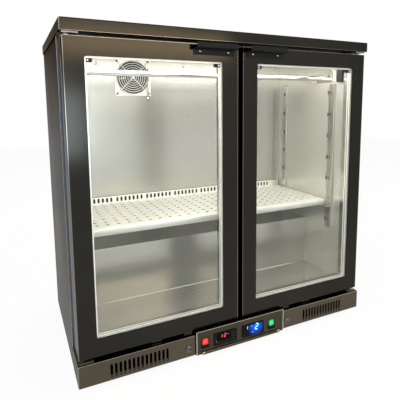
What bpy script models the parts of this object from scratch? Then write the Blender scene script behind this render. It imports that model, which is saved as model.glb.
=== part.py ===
"""Two-door dry aging cabinet with glass doors, built as separate named pieces.

Metres, +Z up. The cabinet stands on its four feet at z = 0, centred on the origin,
and its doors face -Y. Left and right are as seen from the front: left is -X.
"""

import math

import bmesh
import bpy
from mathutils import Matrix, Vector

# Whole cabinet
WIDTH = 0.900
DEPTH = 0.507
HEIGHT = 0.877
FOOT_CLEARANCE = 0.010
GAP = 0.0003
SEAM = 0.0002
OVERRUN = 0.004
WELD = 0.000001
MERGE = 0.00001

# How finely round shapes are faceted
RING_SIDES = 24
ROUND_SIDES = 20
PIN_SIDES = 12
SCREW_SIDES = 8
TUBE_SIDES = 6
GRILLE_WIRE_SIDES = 5
FOLD_STEPS = 3
SLOT_STEPS = 4
EDGE_STEPS = 2

# Angles in degrees above which a rounded face shows an edge
FACET_ANGLE = 35.0
ROUND_ANGLE = 60.0
EDGE_ANGLE = 40.0

# Sheet metal and walls
SHEET = 0.0012
LINER_SHEET = 0.0010
SIDE_WALL = 0.0355
TOP_WALL = 0.037
REAR_WALL = 0.035
FLOOR_WALL = 0.030
FOLD_RADIUS = 0.0015
TIGHT_FOLD_RADIUS = 0.0008

# Worktop and the rail below its front edge
APRON_HEIGHT = 0.0275
WORKTOP_OVERHANG = 0.0025
WORKTOP_EDGE_RADIUS = 0.003
TOP_RAIL_DEPTH = 0.0550

# Kick panel
KICK_HEIGHT = 0.0564
LOUVRE_SLOTS = 14
LOUVRE_PITCH = 0.01116
LOUVRE_SLOT_WIDTH = 0.0066
LOUVRE_SLOT_HEIGHT = 0.037
LOUVRE_CENTRE_X = 0.2959
LOUVRE_CENTRE_HEIGHT = 0.025

# Front frame behind the doors
SEAL_GAP = 0.010
FRAME_SHEET = 0.0015
FRAME_RETURN = 0.040
MULLION_WIDTH = 0.056
MULLION_DEPTH = 0.026
DOOR_REST_X = 0.246
DOOR_REST_WIDTH = 0.030
DOOR_REST_REACH = 0.040
DOOR_REST_SHEET = 0.0015
DOOR_REST_LIFT = 0.0020
OPENING_TOP_DROP = 0.0345
PANEL_LIP = 0.0034

# Inside of the chamber
DUCT_PANEL_SETBACK = 0.0865
DUCT_FOOT_DEPTH = 0.020
FLOOR_HEIGHT = 0.0866
STEP_HEIGHT = 0.170
STEP_DEPTH = 0.2665

# Doors
DOOR_SETBACK = 0.007
DOOR_THICKNESS = 0.040
DOOR_SIDE_INSET = 0.0037
DOOR_MIDDLE_GAP = 0.016
DOOR_TOP_GAP = 0.0093
DOOR_BOTTOM_GAP = 0.0112
DOOR_STILE = 0.045
DOOR_TOP_RAIL = 0.0425
DOOR_BOTTOM_RAIL = 0.045
DOOR_EDGE_RADIUS = 0.0012
FRONT_LIP = 0.003
WINDOW_CORNER_RADIUS = 0.005
GLASS = 0.004
GLASS_CAVITY = 0.012
GLAZING_BITE = 0.012
SPACER_SHOW = 0.004
SPACER_WIDTH = 0.010
GASKET_INSET = 0.009
GASKET_WIDTH = 0.010
GASKET_LIP_WIDTH = 0.004
GASKET_BASE = 0.003

# Hinges
HINGE_INSET = 0.012
HINGE_PIN_RADIUS = 0.0035
HINGE_PIN_REACH = 0.015
HINGE_PLATE = 0.0035
HINGE_PLATE_WIDTH = 0.035
HINGE_PLATE_DEPTH = 0.042
HINGE_COLLAR_RADIUS = 0.007
HINGE_LEAF = 0.003
HINGE_LEAF_WIDTH = 0.0083
HINGE_LEAF_HEIGHT = 0.048

# Door pulls
PULL_LENGTH = 0.116
PULL_CENTRE_X = 0.0775
PULL_SHEET = 0.0018
PULL_STRIP_HEIGHT = 0.0165
PULL_STRIP_DROP = 0.0270
PULL_REACH = 0.025
PULL_LIP_HEIGHT = 0.012
PULL_SCREW_SPACING = 0.080
PULL_SCREW_LIFT = 0.0115
PULL_SCREW_RADIUS = 0.0026

# Control housing on the kick panel
HOUSING_WIDTH = 0.285
HOUSING_HEIGHT = 0.0665
HOUSING_PROUD = 0.006
HOUSING_SHEET = 0.0015
HOUSING_SILL_HEIGHT = 0.008
HOUSING_SILL_REACH = 0.005
HOUSING_SILL_LENGTH = 0.252
CONTROL_CENTRE_HEIGHT = 0.0315
ROCKER_WIDTH = 0.0225
ROCKER_HEIGHT = 0.0270
ROCKER_PROUD = 0.0022
ROCKER_BODY_DEPTH = 0.010
ROCKER_TILT = 7.0
RED_ROCKER_X = -0.1168
GREEN_ROCKER_X = 0.0988
CONTROLLER_WIDTH = 0.0725
CONTROLLER_HEIGHT = 0.0355
CONTROLLER_FLANGE = 0.002
CONTROLLER_BODY_WIDTH = 0.0685
CONTROLLER_BODY_HEIGHT = 0.0285
CONTROLLER_BODY_DEPTH = 0.045
TEMPERATURE_CONTROLLER_X = -0.0544
HUMIDITY_CONTROLLER_X = 0.0351
CUTOUT_CLEARANCE = 0.0006
HOUSING_SILL_STEPS = 3
KICK_CUTOUT_MARGIN = 0.006

# Key locks
LOCK_X = 0.1611
LOCK_CENTRE_HEIGHT = 0.0233
LOCK_FACE_RADIUS = 0.0100
LOCK_FACE_DEPTH = 0.0032
LOCK_BARREL_RADIUS = 0.0080
LOCK_CAM_LENGTH = 0.040
LOCK_CAM_WIDTH = 0.010
LOCK_CAM_THICKNESS = 0.0025
LOCK_CAM_CLEARANCE = 0.0018
LOCK_NUT_RADIUS = 0.0060
LOCK_NUT_DEPTH = 0.0040
LOCK_SLOT_REACH = 0.030
LOCK_SLOT_MARGIN = 0.0010
STRIKE_WIDTH = 0.022
STRIKE_SHEET = 0.002
STRIKE_INSET = 0.0002
STRIKE_LIFT = 0.0015
KEYWAY_WIDTH = 0.0012
KEYWAY_LENGTH = 0.0075
KEYWAY_DEPTH = 0.0024

# Slotted posts and shelf clips
POST_WIDTH = 0.028
POST_DEPTH = 0.008
POST_SHEET = 0.0010
POST_FRONT_SETBACK = 0.1090
POST_REAR_SETBACK = 0.1335
POST_TOP_DROP = 0.0841
POST_SLOT_WIDTH = 0.006
POST_SLOT_HEIGHT = 0.010
POST_SLOT_PITCH = 0.0722
POST_TOP_SLOT_DROP = 0.030
POST_LOW_SLOT_RISE = 0.022
CLIP_WIDTH = 0.016
CLIP_REACH = 0.013
CLIP_SHEET = 0.0020
CLIP_BACK_SHEET = 0.0012
CLIP_BACK_RISE = 0.005
CLIP_TONGUE = 0.040

# Perforated shelf
SHELF_HEIGHT_ABOVE_STEP = 0.0934
SHELF_SIDE_CLEARANCE = 0.004
SHELF_NOTCH_CLEARANCE = 0.0025
SHELF_FRONT_SETBACK = 0.1295
SHELF_REAR_CLEARANCE = 0.005
SHELF_SHEET = 0.0012
SHELF_LIP = 0.0195
SHELF_UPSTAND = 0.024
SHELF_HOLE_RADIUS = 0.0042
SHELF_HOLE_SIDES = 4
SHELF_HOLE_PITCH = 0.0302
SHELF_HOLE_MARGIN = 0.006
SHELF_FIRST_ROW = 0.0365
UPSTAND_SLOT_WIDTH = 0.007
UPSTAND_SLOT_HEIGHT = 0.016
UPSTAND_SLOT_LIFT = 0.0125
UPSTAND_SLOT_PITCH = 0.0139
UPSTAND_SLOTS_PER_GROUP = 7
UPSTAND_GROUP_PITCH = 0.1038

# Hanging rail, its brackets and the hooks
RAIL_RADIUS = 0.0085
RAIL_WALL = 0.0015
RAIL_SETBACK = 0.1785
RAIL_DROP = 0.065
BRACKET_WIDTH = 0.130
BRACKET_HEIGHT = 0.040
BRACKET_PLATE = 0.0025
BRACKET_RISE = 0.007
BRACKET_CUP_RADIUS = 0.0120
BRACKET_CUP_DEPTH = 0.013
BRACKET_SCREW_RADIUS = 0.0032
BRACKET_SCREW_HEAD = 0.0014
BRACKET_SCREW_SPACING = 0.100
HOOK_WIRE_RADIUS = 0.0022
HOOK_CLEARANCE = 0.0004
HOOK_SHANK = 0.058
HOOK_BOWL_RADIUS = 0.013
HOOK_END_ANGLE = 200.0
HOOK_SHANK_ANGLE = -30.0
HOOK_BOWL_TURN = 180.0
HOOK_CROOK_STEPS = 10
HOOK_BOWL_STEPS = 8
LEFT_HOOK_X = -0.202
RIGHT_HOOK_X = 0.095

# Light bar behind the top of the opening
LIGHT_BAR_DEPTH = 0.018
LIGHT_BAR_HEIGHT = 0.018
LIGHT_END_HEIGHT = 0.080
LIGHT_END_WIDTH = 0.010
LIGHT_END_DEPTH = 0.026

# Circulation fan
FAN_X = -0.182
FAN_DROP = 0.0984
FAN_FLANGE = 0.120
FAN_FLANGE_SHEET = 0.0020
FAN_FLANGE_CORNER = 0.006
FAN_DUCT_RADIUS = 0.0575
FAN_DUCT_WALL = 0.0022
FAN_DUCT_DEPTH = 0.025
FAN_HUB_RADIUS = 0.021
FAN_HUB_DEPTH = 0.016
FAN_TIP_CLEARANCE = 0.0018
FAN_BLADES = 7
FAN_BLADE_SHEET = 0.0016
FAN_BLADE_CHORD = 0.024
FAN_BLADE_PITCH = 32.0
FAN_STRUT_WIDTH = 0.006
FAN_STRUT_DEPTH = 0.003
FAN_SPINDLE_RADIUS = 0.004
GRILLE_SPOKES = 4
GRILLE_WIRE_RADIUS = 0.0010
GRILLE_RINGS = 5
GRILLE_RING_FACES = 24
GRILLE_OUTER_RADIUS = 0.0545
GRILLE_RING_PITCH = 0.0095
GRILLE_HUB_RADIUS = 0.010
GRILLE_HUB_THICKNESS = 0.0016
GRILLE_STANDOFF = 0.006
GRILLE_EYE_RADIUS = 0.004
GRILLE_EYE_SPACING = 0.105

# Cold coil behind the duct panel
COIL_WIDTH = 0.600
COIL_HEIGHT = 0.200
COIL_DEPTH = 0.034
COIL_DROP = 0.135
COIL_FINS = 12
COIL_FIN_SHEET = 0.0012
COIL_TUBE_RADIUS = 0.0045
COIL_TUBES = 3

# Machinery in the compartment behind the step
COMPRESSOR_RADIUS = 0.072
COMPRESSOR_HEIGHT = 0.150
COMPRESSOR_WAIST = 0.004
COMPRESSOR_DOME = 0.024
COMPRESSOR_SEAM_RISE = 0.006
COMPRESSOR_X = 0.200
COMPRESSOR_REAR_SETBACK = 0.118
COMPRESSOR_FOOT_LENGTH = 0.180
COMPRESSOR_FOOT_WIDTH = 0.034
COMPRESSOR_FOOT_SHEET = 0.003
COMPRESSOR_STUB_RADIUS = 0.005
COMPRESSOR_STUB_LENGTH = 0.020
CONDENSER_WIDTH = 0.220
CONDENSER_HEIGHT = 0.150
CONDENSER_DEPTH = 0.044
CONDENSER_X = -0.190
CONDENSER_FINS = 10
CONDENSER_FIN_SHEET = 0.0014
CONDENSER_MARGIN = 0.006
CONDENSER_TUBES = 3
CONDENSER_REAR_SETBACK = 0.150
CONDENSER_SHROUD_SHEET = 0.002
CONDENSER_SHROUD_DEPTH = 0.036
CONDENSER_FAN_RADIUS = 0.062
CONDENSER_FAN_HUB_RADIUS = 0.022
CONDENSER_FAN_HUB_DEPTH = 0.020
CONDENSER_FAN_BLADES = 5
CONDENSER_FAN_CHORD = 0.034
CONDENSER_MOTOR_RADIUS = 0.018
CONDENSER_MOTOR_DEPTH = 0.030

# Base pan, feet and rear panel
PAN_EDGE = 0.014
FOOT_RADIUS = 0.019
FOOT_PAD_HEIGHT = 0.006
FOOT_STEM_RADIUS = 0.005
FOOT_NUT_RADIUS = 0.010
FOOT_STEM_HEIGHT = 0.032
FOOT_SIDE_INSET = 0.050
FOOT_END_INSET = 0.060
VENT_SLOTS = 12
VENT_SLOT_LENGTH = 0.110
VENT_SLOT_WIDTH = 0.006
VENT_SLOT_PITCH = 0.012
VENT_X = 0.200
VENT_LOW_EDGE = 0.050

# Planes worked out from the sizes above
MIDDLE = (PULL_REACH - DOOR_SETBACK) / 2
FRONT = MIDDLE - DEPTH / 2
BACK = MIDDLE + DEPTH / 2
BASE = FOOT_CLEARANCE
KICK_TOP = BASE + KICK_HEIGHT
APRON_BOTTOM = HEIGHT - APRON_HEIGHT
WORKTOP_UNDERSIDE = HEIGHT - SHEET
HALF_BODY = WIDTH / 2 - WORKTOP_OVERHANG
HALF_CHAMBER = HALF_BODY - SIDE_WALL
CEILING = HEIGHT - TOP_WALL
CHAMBER_BACK = BACK - REAR_WALL
DUCT_FACE = BACK - DUCT_PANEL_SETBACK
FLOOR = BASE + FLOOR_HEIGHT
STEP_TOP = FLOOR + STEP_HEIGHT
STEP_FRONT = BACK - STEP_DEPTH
DOOR_FRONT = FRONT + DOOR_SETBACK
DOOR_BACK = DOOR_FRONT + DOOR_THICKNESS
FRAME_FRONT = DOOR_BACK + SEAL_GAP
FRAME_BACK = FRAME_FRONT + FRAME_SHEET
DOOR_OUTER = HALF_BODY - DOOR_SIDE_INSET
DOOR_INNER = DOOR_MIDDLE_GAP / 2
DOOR_TOP = APRON_BOTTOM - DOOR_TOP_GAP
DOOR_BOTTOM = KICK_TOP + DOOR_BOTTOM_GAP
WINDOW_OUTER = DOOR_OUTER - DOOR_STILE
WINDOW_INNER = DOOR_INNER + DOOR_STILE
WINDOW_TOP = DOOR_TOP - DOOR_TOP_RAIL
WINDOW_BOTTOM = DOOR_BOTTOM + DOOR_BOTTOM_RAIL
OPENING_TOP = APRON_BOTTOM - OPENING_TOP_DROP
HINGE_X = DOOR_OUTER - HINGE_INSET
HINGE_Y = (DOOR_FRONT + DOOR_BACK) / 2
CONTROL_Z = BASE + CONTROL_CENTRE_HEIGHT
HOUSING_FRONT = FRONT - HOUSING_PROUD
LOCK_Z = BASE + LOCK_CENTRE_HEIGHT
SHELF_TOP = STEP_TOP + SHELF_HEIGHT_ABOVE_STEP
SHELF_FRONT = FRONT + SHELF_FRONT_SETBACK
SHELF_BACK = DUCT_FACE - SHELF_REAR_CLEARANCE - SHELF_SHEET / 2
POST_FACE = HALF_CHAMBER - POST_DEPTH
SHELF_HALF_WIDTH = HALF_CHAMBER - SHELF_SIDE_CLEARANCE
SHELF_NOTCH_HALF = POST_FACE - SHELF_NOTCH_CLEARANCE
RAIL_Y = FRONT + RAIL_SETBACK
RAIL_Z = CEILING - RAIL_DROP
FAN_Z = HEIGHT - FAN_DROP
PAN_TOP = BASE + SHEET
REAR_SHEET_BACK = BACK - SHEET - GAP
REAR_SHEET_FRONT = REAR_SHEET_BACK - SHEET

SIDES = {"left": -1, "right": 1}
AXIS_TURNS = {
    "x": Matrix(((0, 0, 1), (1, 0, 0), (0, 1, 0))).to_4x4(),
    "y": Matrix(((1, 0, 0), (0, 0, -1), (0, 1, 0))).to_4x4(),
    "z": Matrix.Identity(4),
}


# Scene, materials and small helpers

def clear_scene():
    """Removes the objects that the file opened with."""
    for item in list(bpy.data.objects):
        bpy.data.objects.remove(item, do_unlink=True)


def new_collection(name):
    """Makes a collection under the scene."""
    made = bpy.data.collections.new(name)
    bpy.context.scene.collection.children.link(made)
    return made


def make_material(name, colour, roughness, metallic, alpha=1.0):
    """Makes a Principled material from linear colour values."""
    made = bpy.data.materials.new(name)
    made.use_nodes = True
    shader = made.node_tree.nodes["Principled BSDF"]
    shader.inputs["Base Color"].default_value = (*colour, 1.0)
    shader.inputs["Roughness"].default_value = roughness
    shader.inputs["Metallic"].default_value = metallic
    shader.inputs["Alpha"].default_value = alpha
    made.diffuse_color = (*colour, alpha)
    return made


def keep(item, finish):
    """Puts a finished piece with the cabinet and gives it its material."""
    for owner in list(item.users_collection):
        owner.objects.unlink(item)
    CABINET.objects.link(item)
    item.data.materials.clear()
    item.data.materials.append(FINISHES[finish])
    return item


def set_tool(item):
    """Keeps a shape that only cuts or joins out of the cabinet."""
    for owner in list(item.users_collection):
        owner.objects.unlink(item)
    CUTTERS.objects.link(item)
    item.hide_render = True
    item.display_type = "WIRE"
    return item


def place_mesh(name, mesh, location=(0, 0, 0)):
    """Makes an object for a mesh at a place."""
    item = bpy.data.objects.new(name, mesh)
    item.location = location
    CABINET.objects.link(item)
    return item


def hang_on(item, pivot):
    """Parents a piece to an empty without moving it."""
    item.location = item.location - pivot.location
    item.parent = pivot
    return item


def pivot_at(name, location):
    """Makes an empty on a joint's axis."""
    made = bpy.data.objects.new(name, None)
    made.location = location
    CABINET.objects.link(made)
    return made


def smooth(item, angle=FACET_ANGLE):
    """Shades round faces smooth and keeps real edges sharp."""
    item.data.shade_smooth()
    item.data.set_sharp_from_angle(angle=math.radians(angle))
    return item


def box(name, low, high):
    """Makes a box between two corners."""
    low, high = Vector(low), Vector(high)
    size = high - low
    work = bmesh.new()
    bmesh.ops.create_cube(work, size=1)
    bmesh.ops.scale(work, vec=size, verts=work.verts)
    mesh = bpy.data.meshes.new(name)
    work.to_mesh(mesh)
    work.free()
    return place_mesh(name, mesh, (low + high) / 2)


def rod(name, radius, start, end, sides=ROUND_SIDES):
    """Makes a capped cylinder between two points."""
    start, end = Vector(start), Vector(end)
    run = end - start
    work = bmesh.new()
    bmesh.ops.create_cone(
        work, cap_ends=True, segments=sides, radius1=radius, radius2=radius, depth=run.length)
    turn = Vector((0, 0, 1)).rotation_difference(run).to_matrix()
    bmesh.ops.transform(work, matrix=turn.to_4x4(), verts=work.verts)
    mesh = bpy.data.meshes.new(name)
    work.to_mesh(mesh)
    work.free()
    return smooth(place_mesh(name, mesh, (start + end) / 2))


def curve_to_mesh(name, curve_item):
    """Turns a curve object into a closed mesh object in the same place."""
    graph = bpy.context.evaluated_depsgraph_get()
    mesh = bpy.data.meshes.new_from_object(curve_item.evaluated_get(graph))
    work = bmesh.new()
    work.from_mesh(mesh)
    bmesh.ops.remove_doubles(work, verts=work.verts, dist=WELD)
    bmesh.ops.recalc_face_normals(work, faces=work.faces)
    work.to_mesh(mesh)
    work.free()
    place = curve_item.matrix_world.copy()
    bpy.data.objects.remove(curve_item, do_unlink=True)
    mesh.name = name
    made = bpy.data.objects.new(name, mesh)
    made.matrix_world = place
    CABINET.objects.link(made)
    return made


def plate(name, outlines, thickness, axis, level):
    """Cuts a flat plate from closed outlines; those inside the first one are holes.

    The outlines run in the two axes that follow the plate's own axis: (x, z) for a
    plate square to y, (y, z) for one square to x, (x, y) for one square to z. The
    plate's middle lies at the given level on its axis.
    """
    curve = bpy.data.curves.new(name, "CURVE")
    curve.dimensions = "2D"
    curve.fill_mode = "BOTH"
    curve.extrude = thickness / 2
    for outline in outlines:
        spline = curve.splines.new("POLY")
        spline.points.add(len(outline) - 1)
        for point, (u, v) in zip(spline.points, outline):
            point.co = (u, v, 0, 1)
        spline.use_cyclic_u = True
    item = bpy.data.objects.new(name, curve)
    shift = {"x": (level, 0, 0), "y": (0, level, 0), "z": (0, 0, level)}[axis]
    item.matrix_world = Matrix.Translation(shift) @ AXIS_TURNS[axis]
    CABINET.objects.link(item)
    bpy.context.view_layer.update()
    return curve_to_mesh(name, item)


def wire(name, points, radius, closed=False):
    """Makes a round wire along points."""
    curve = bpy.data.curves.new(name, "CURVE")
    curve.dimensions = "3D"
    curve.bevel_depth = radius
    curve.bevel_resolution = 1
    curve.use_fill_caps = not closed
    spline = curve.splines.new("POLY")
    spline.points.add(len(points) - 1)
    for point, place in zip(spline.points, points):
        point.co = (*place, 1)
    spline.use_cyclic_u = closed
    item = bpy.data.objects.new(name, curve)
    CABINET.objects.link(item)
    bpy.context.view_layer.update()
    return smooth(curve_to_mesh(name, item), angle=ROUND_ANGLE)


def turned(name, profile, centre, axis="z", steps=ROUND_SIDES):
    """Turns a profile of (radius, height) points, top to bottom, about an axis."""
    work = bmesh.new()
    row = [work.verts.new((radius, 0, height)) for radius, height in profile]
    for first, second in zip(row, row[1:]):
        work.edges.new((first, second))
    mesh = bpy.data.meshes.new(name)
    work.to_mesh(mesh)
    work.free()
    item = place_mesh(name, mesh, centre)
    if axis == "y":
        item.rotation_euler = (math.radians(90), 0, 0)
    spin = item.modifiers.new("Turn", "SCREW")
    spin.steps = steps
    spin.render_steps = steps
    spin.use_merge_vertices = True
    spin.merge_threshold = MERGE
    spin.use_smooth_shade = False
    return item


def sheet_sides(profile, thickness, radius, segments=FOLD_STEPS):
    """Gives both sides of a bent sheet; the second lies to the right of the run."""
    points = [Vector(point) for point in profile]
    runs = [(after - before).normalized() for before, after in zip(points, points[1:])]
    rights = [Vector((run.y, -run.x)) for run in runs]
    near, far = [points[0]], [points[0] + thickness * rights[0]]
    for corner, before, after, right, next_right in zip(
            points[1:], runs, runs[1:], rights, rights[1:]):
        left_turn = before.x * after.y - before.y * after.x > 0
        inside = radius if left_turn else radius + thickness
        half = before.angle(after) / 2
        setback = inside * math.tan(half)
        side = -1 if left_turn else 1
        centre = corner - setback * before + side * inside * right
        for step in range(segments + 1):
            share = step / segments
            arm = right.slerp(next_right, share)
            near.append(centre - side * inside * arm)
            far.append(near[-1] + thickness * arm)
    near.append(points[-1])
    far.append(points[-1] + thickness * rights[-1])
    return near, far


def folded(name, profile, axis, start, end, thickness, radius=FOLD_RADIUS):
    """Folds a strip of sheet: an open profile with round bends carried along an axis.

    The profile runs in the two axes that follow the strip's own axis, as for a
    plate. The sheet lies to the right of the profile's run.
    """
    near, far = sheet_sides(profile, thickness, radius)
    outline = near + far[::-1]
    return plate(name, [outline], end - start, axis, (start + end) / 2)


def gather(name, items):
    """Puts shapes that don't touch one another into one tool."""
    bpy.context.view_layer.update()
    work = bmesh.new()
    for item in items:
        mesh = item.data.copy()
        mesh.transform(item.matrix_world)
        work.from_mesh(mesh)
        bpy.data.meshes.remove(mesh)
        bpy.data.objects.remove(item, do_unlink=True)
    mesh = bpy.data.meshes.new(name)
    work.to_mesh(mesh)
    work.free()
    return place_mesh(name, mesh)


def tray(name, low, high, open_sides, thickness, radius=0.0):
    """Makes a folded box of sheet between two corners, open on the named sides."""
    low, high = Vector(low), Vector(high)
    work = bmesh.new()
    bmesh.ops.create_cube(work, size=1)
    bmesh.ops.scale(work, vec=high - low, verts=work.verts)
    looks = {
        "top": Vector((0, 0, 1)), "bottom": Vector((0, 0, -1)), "rear": Vector((0, 1, 0))}
    work.normal_update()
    for opened in open_sides:
        gone = [face for face in work.faces if face.normal.dot(looks[opened]) > 1 / 2]
        bmesh.ops.delete(work, geom=gone, context="FACES_ONLY")
    if radius:
        folds = [edge for edge in work.edges if len(edge.link_faces) == 2]
        bmesh.ops.bevel(
            work, geom=folds, offset=radius, offset_type="OFFSET", segments=FOLD_STEPS,
            profile=1 / 2, affect="EDGES", clamp_overlap=True)
    mesh = bpy.data.meshes.new(name)
    work.to_mesh(mesh)
    work.free()
    item = place_mesh(name, mesh, (low + high) / 2)
    shell = item.modifiers.new("Sheet", "SOLIDIFY")
    shell.thickness = thickness
    shell.offset = -1.0
    shell.use_even_offset = True
    return smooth(item)


def combine(item, others, operation="UNION", solver="EXACT"):
    """Joins tools to a piece, or cuts them out of it."""
    for other in others:
        set_tool(other)
        step = item.modifiers.new(operation.title(), "BOOLEAN")
        step.operation = operation
        step.solver = solver
        step.object = other
    return item


def cut(item, others, solver="EXACT"):
    """Cuts tools out of a piece."""
    return combine(item, others, "DIFFERENCE", solver)


def soften(item, width, segments=EDGE_STEPS, angle=EDGE_ANGLE):
    """Rounds a piece's sharp edges."""
    edge = item.modifiers.new("Edges", "BEVEL")
    edge.width = width
    edge.segments = segments
    edge.limit_method = "ANGLE"
    edge.angle_limit = math.radians(angle)
    return item


def rectangle(u_low, v_low, u_high, v_high):
    """Gives the four corners of a rectangle."""
    return [(u_low, v_low), (u_high, v_low), (u_high, v_high), (u_low, v_high)]


def arc(u, v, radius, first, last, steps):
    """Gives points on an arc about a centre, between two angles in degrees."""
    turns = [math.radians(first + (last - first) * step / steps) for step in range(steps + 1)]
    return [(u + radius * math.cos(turn), v + radius * math.sin(turn)) for turn in turns]


def rounded_rectangle(u_low, v_low, u_high, v_high, radius, segments=FOLD_STEPS):
    """Gives the outline of a rectangle with round corners."""
    left, right = u_low + radius, u_high - radius
    bottom, top = v_low + radius, v_high - radius
    return [
        *arc(right, bottom, radius, -90, 0, segments), *arc(right, top, radius, 0, 90, segments),
        *arc(left, top, radius, 90, 180, segments), *arc(left, bottom, radius, 180, 270, segments)]


def obround(u, v, width, height, segments=SLOT_STEPS):
    """Gives the outline of a slot with round ends, or square ones for one segment."""
    if segments == 1:
        return rectangle(u - width / 2, v - height / 2, u + width / 2, v + height / 2)
    radius = min(width, height) / 2
    reach_u = width / 2 - radius
    reach_v = height / 2 - radius
    first = 0 if height > width else -90
    return [
        *arc(u + reach_u, v + reach_v, radius, first, first + 180, segments),
        *arc(u - reach_u, v - reach_v, radius, first + 180, first + 360, segments)]


def circle(u, v, radius, sides=ROUND_SIDES):
    """Gives the outline of a round hole."""
    return arc(u, v, radius, 0, 360, sides)[:-1]


def spread(count, pitch):
    """Gives evenly spaced places about zero."""
    return [(index - (count - 1) / 2) * pitch for index in range(count)]


def steps_within(length, pitch):
    """Gives how many whole steps of a pitch a length holds."""
    return math.floor(length / pitch)


def spread_within(reach, pitch):
    """Gives evenly spaced places about zero, one of them at zero, up to a reach on each side."""
    return spread(2 * steps_within(reach, pitch) + 1, pitch)


# Outer casing

def build_worktop():
    """A folded top with an apron on all four sides and rounded edges."""
    low = (-WIDTH / 2, FRONT, APRON_BOTTOM)
    item = tray("worktop", low, (WIDTH / 2, BACK, HEIGHT), ["bottom"], SHEET, WORKTOP_EDGE_RADIUS)
    return keep(item, "dark_steel")


def build_top_rail():
    """The channel under the worktop's front edge, which carries the upper hinges."""
    front = FRONT + SHEET + GAP
    rear = front + TOP_RAIL_DEPTH
    top = HEIGHT - WORKTOP_EDGE_RADIUS
    profile = [(rear, top), (rear, APRON_BOTTOM), (front, APRON_BOTTOM), (front, top)]
    half = HALF_BODY - SHEET - GAP
    item = folded("top_rail", profile, "x", -half, half, SHEET)
    return keep(item, "dark_steel")


def build_side_panel(side):
    """An outer side sheet with a narrow front lip against the front frame."""
    sign = SIDES[side]
    front = FRAME_FRONT + FRAME_RETURN + GAP
    outer = sign * HALF_BODY
    lip = sign * (HALF_BODY - PANEL_LIP)
    profile = [(lip, front), (outer, front), (outer, REAR_SHEET_FRONT - GAP)]
    if sign > 0:
        profile.reverse()
    low = PAN_TOP + GAP
    item = folded(
        f"side_panel_{side}", profile, "z", low, WORKTOP_UNDERSIDE - GAP, SHEET,
        TIGHT_FOLD_RADIUS)
    return keep(item, "dark_steel")


def build_rear_panel():
    """The back sheet, with two fields of vent slots for the machinery."""
    half = HALF_BODY
    low = PAN_TOP + GAP
    outlines = [rectangle(-half, low, half, HEIGHT - WORKTOP_EDGE_RADIUS)]
    for centre in (-VENT_X, VENT_X):
        for row in range(VENT_SLOTS):
            height = BASE + VENT_LOW_EDGE + row * VENT_SLOT_PITCH
            outlines.append(obround(centre, height, VENT_SLOT_LENGTH, VENT_SLOT_WIDTH, 1))
    item = plate("rear_panel", outlines, SHEET, "y", (REAR_SHEET_FRONT + REAR_SHEET_BACK) / 2)
    return keep(item, "galvanised_steel")


def foot_places():
    """The four places of the feet on the base."""
    across = HALF_BODY - FOOT_SIDE_INSET
    front = FRONT + FOOT_END_INSET
    rear = BACK - FOOT_END_INSET
    return {
        "front_left": (-across, front), "front_right": (across, front),
        "rear_left": (-across, rear), "rear_right": (across, rear)}


def build_base_pan():
    """The bottom tray, with turned-up edges and holes for the feet."""
    half = HALF_BODY - PANEL_LIP - GAP
    low = (-half, FRONT + SHEET + GAP, BASE)
    item = tray("base_pan", low, (half, REAR_SHEET_FRONT - GAP, BASE + PAN_EDGE), ["top"], SHEET)
    holes = gather("foot_holes", [
        rod(f"foot_hole_{place}", FOOT_STEM_RADIUS + GAP, (x, y, BASE - OVERRUN),
            (x, y, BASE + OVERRUN), PIN_SIDES)
        for place, (x, y) in foot_places().items()])
    return keep(cut(item, [holes]), "galvanised_steel")


def build_feet():
    """Four levelling feet whose threaded stems stand through the base pan."""
    for place, (x, y) in foot_places().items():
        profile = [
            (0, FOOT_STEM_HEIGHT), (FOOT_STEM_RADIUS, FOOT_STEM_HEIGHT),
            (FOOT_STEM_RADIUS, BASE - GAP), (FOOT_NUT_RADIUS, BASE - GAP),
            (FOOT_NUT_RADIUS, FOOT_PAD_HEIGHT), (FOOT_RADIUS, FOOT_PAD_HEIGHT / 2),
            (FOOT_RADIUS, 0), (0, 0)]
        item = turned(f"foot_{place}", profile, (x, y, 0), steps=PIN_SIDES)
        keep(smooth(item), "black_plastic")


def build_insulation():
    """The foam body between the outer sheets and the liner, in one moulding."""
    front = FRAME_BACK + GAP
    rear = REAR_SHEET_FRONT - GAP
    top = WORKTOP_UNDERSIDE - GAP
    low = FLOOR - FLOOR_WALL
    step_wall = STEP_FRONT + REAR_WALL
    step_low = STEP_TOP - REAR_WALL
    outer = [
        (front, low), (step_wall, low), (step_wall, step_low), (rear, step_low),
        (rear, top), (front, top)]
    half = HALF_BODY - SHEET - GAP
    item = plate("insulation", [outer], 2 * half, "x", 0)
    skin = LINER_SHEET + GAP
    inner = [
        (front - OVERRUN, FLOOR - skin), (STEP_FRONT + skin, FLOOR - skin),
        (STEP_FRONT + skin, STEP_TOP - skin), (CHAMBER_BACK + skin, STEP_TOP - skin),
        (CHAMBER_BACK + skin, CEILING + skin), (front - OVERRUN, CEILING + skin)]
    cavity = plate("insulation_cavity", [inner], 2 * (HALF_CHAMBER + skin), "x", 0)
    tools = [cavity]
    return_inner = DOOR_OUTER - FRAME_SHEET - GAP - FOLD_RADIUS
    for side, sign in SIDES.items():
        ends = sorted((sign * return_inner, sign * (half + OVERRUN)))
        tools.append(box(
            f"insulation_rebate_{side}", (ends[0], front - OVERRUN, low - OVERRUN),
            (ends[1], FRAME_FRONT + FRAME_RETURN + SHEET + 2 * GAP, top + OVERRUN)))
    return keep(cut(item, tools), "foam")


# Chamber liner

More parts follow.
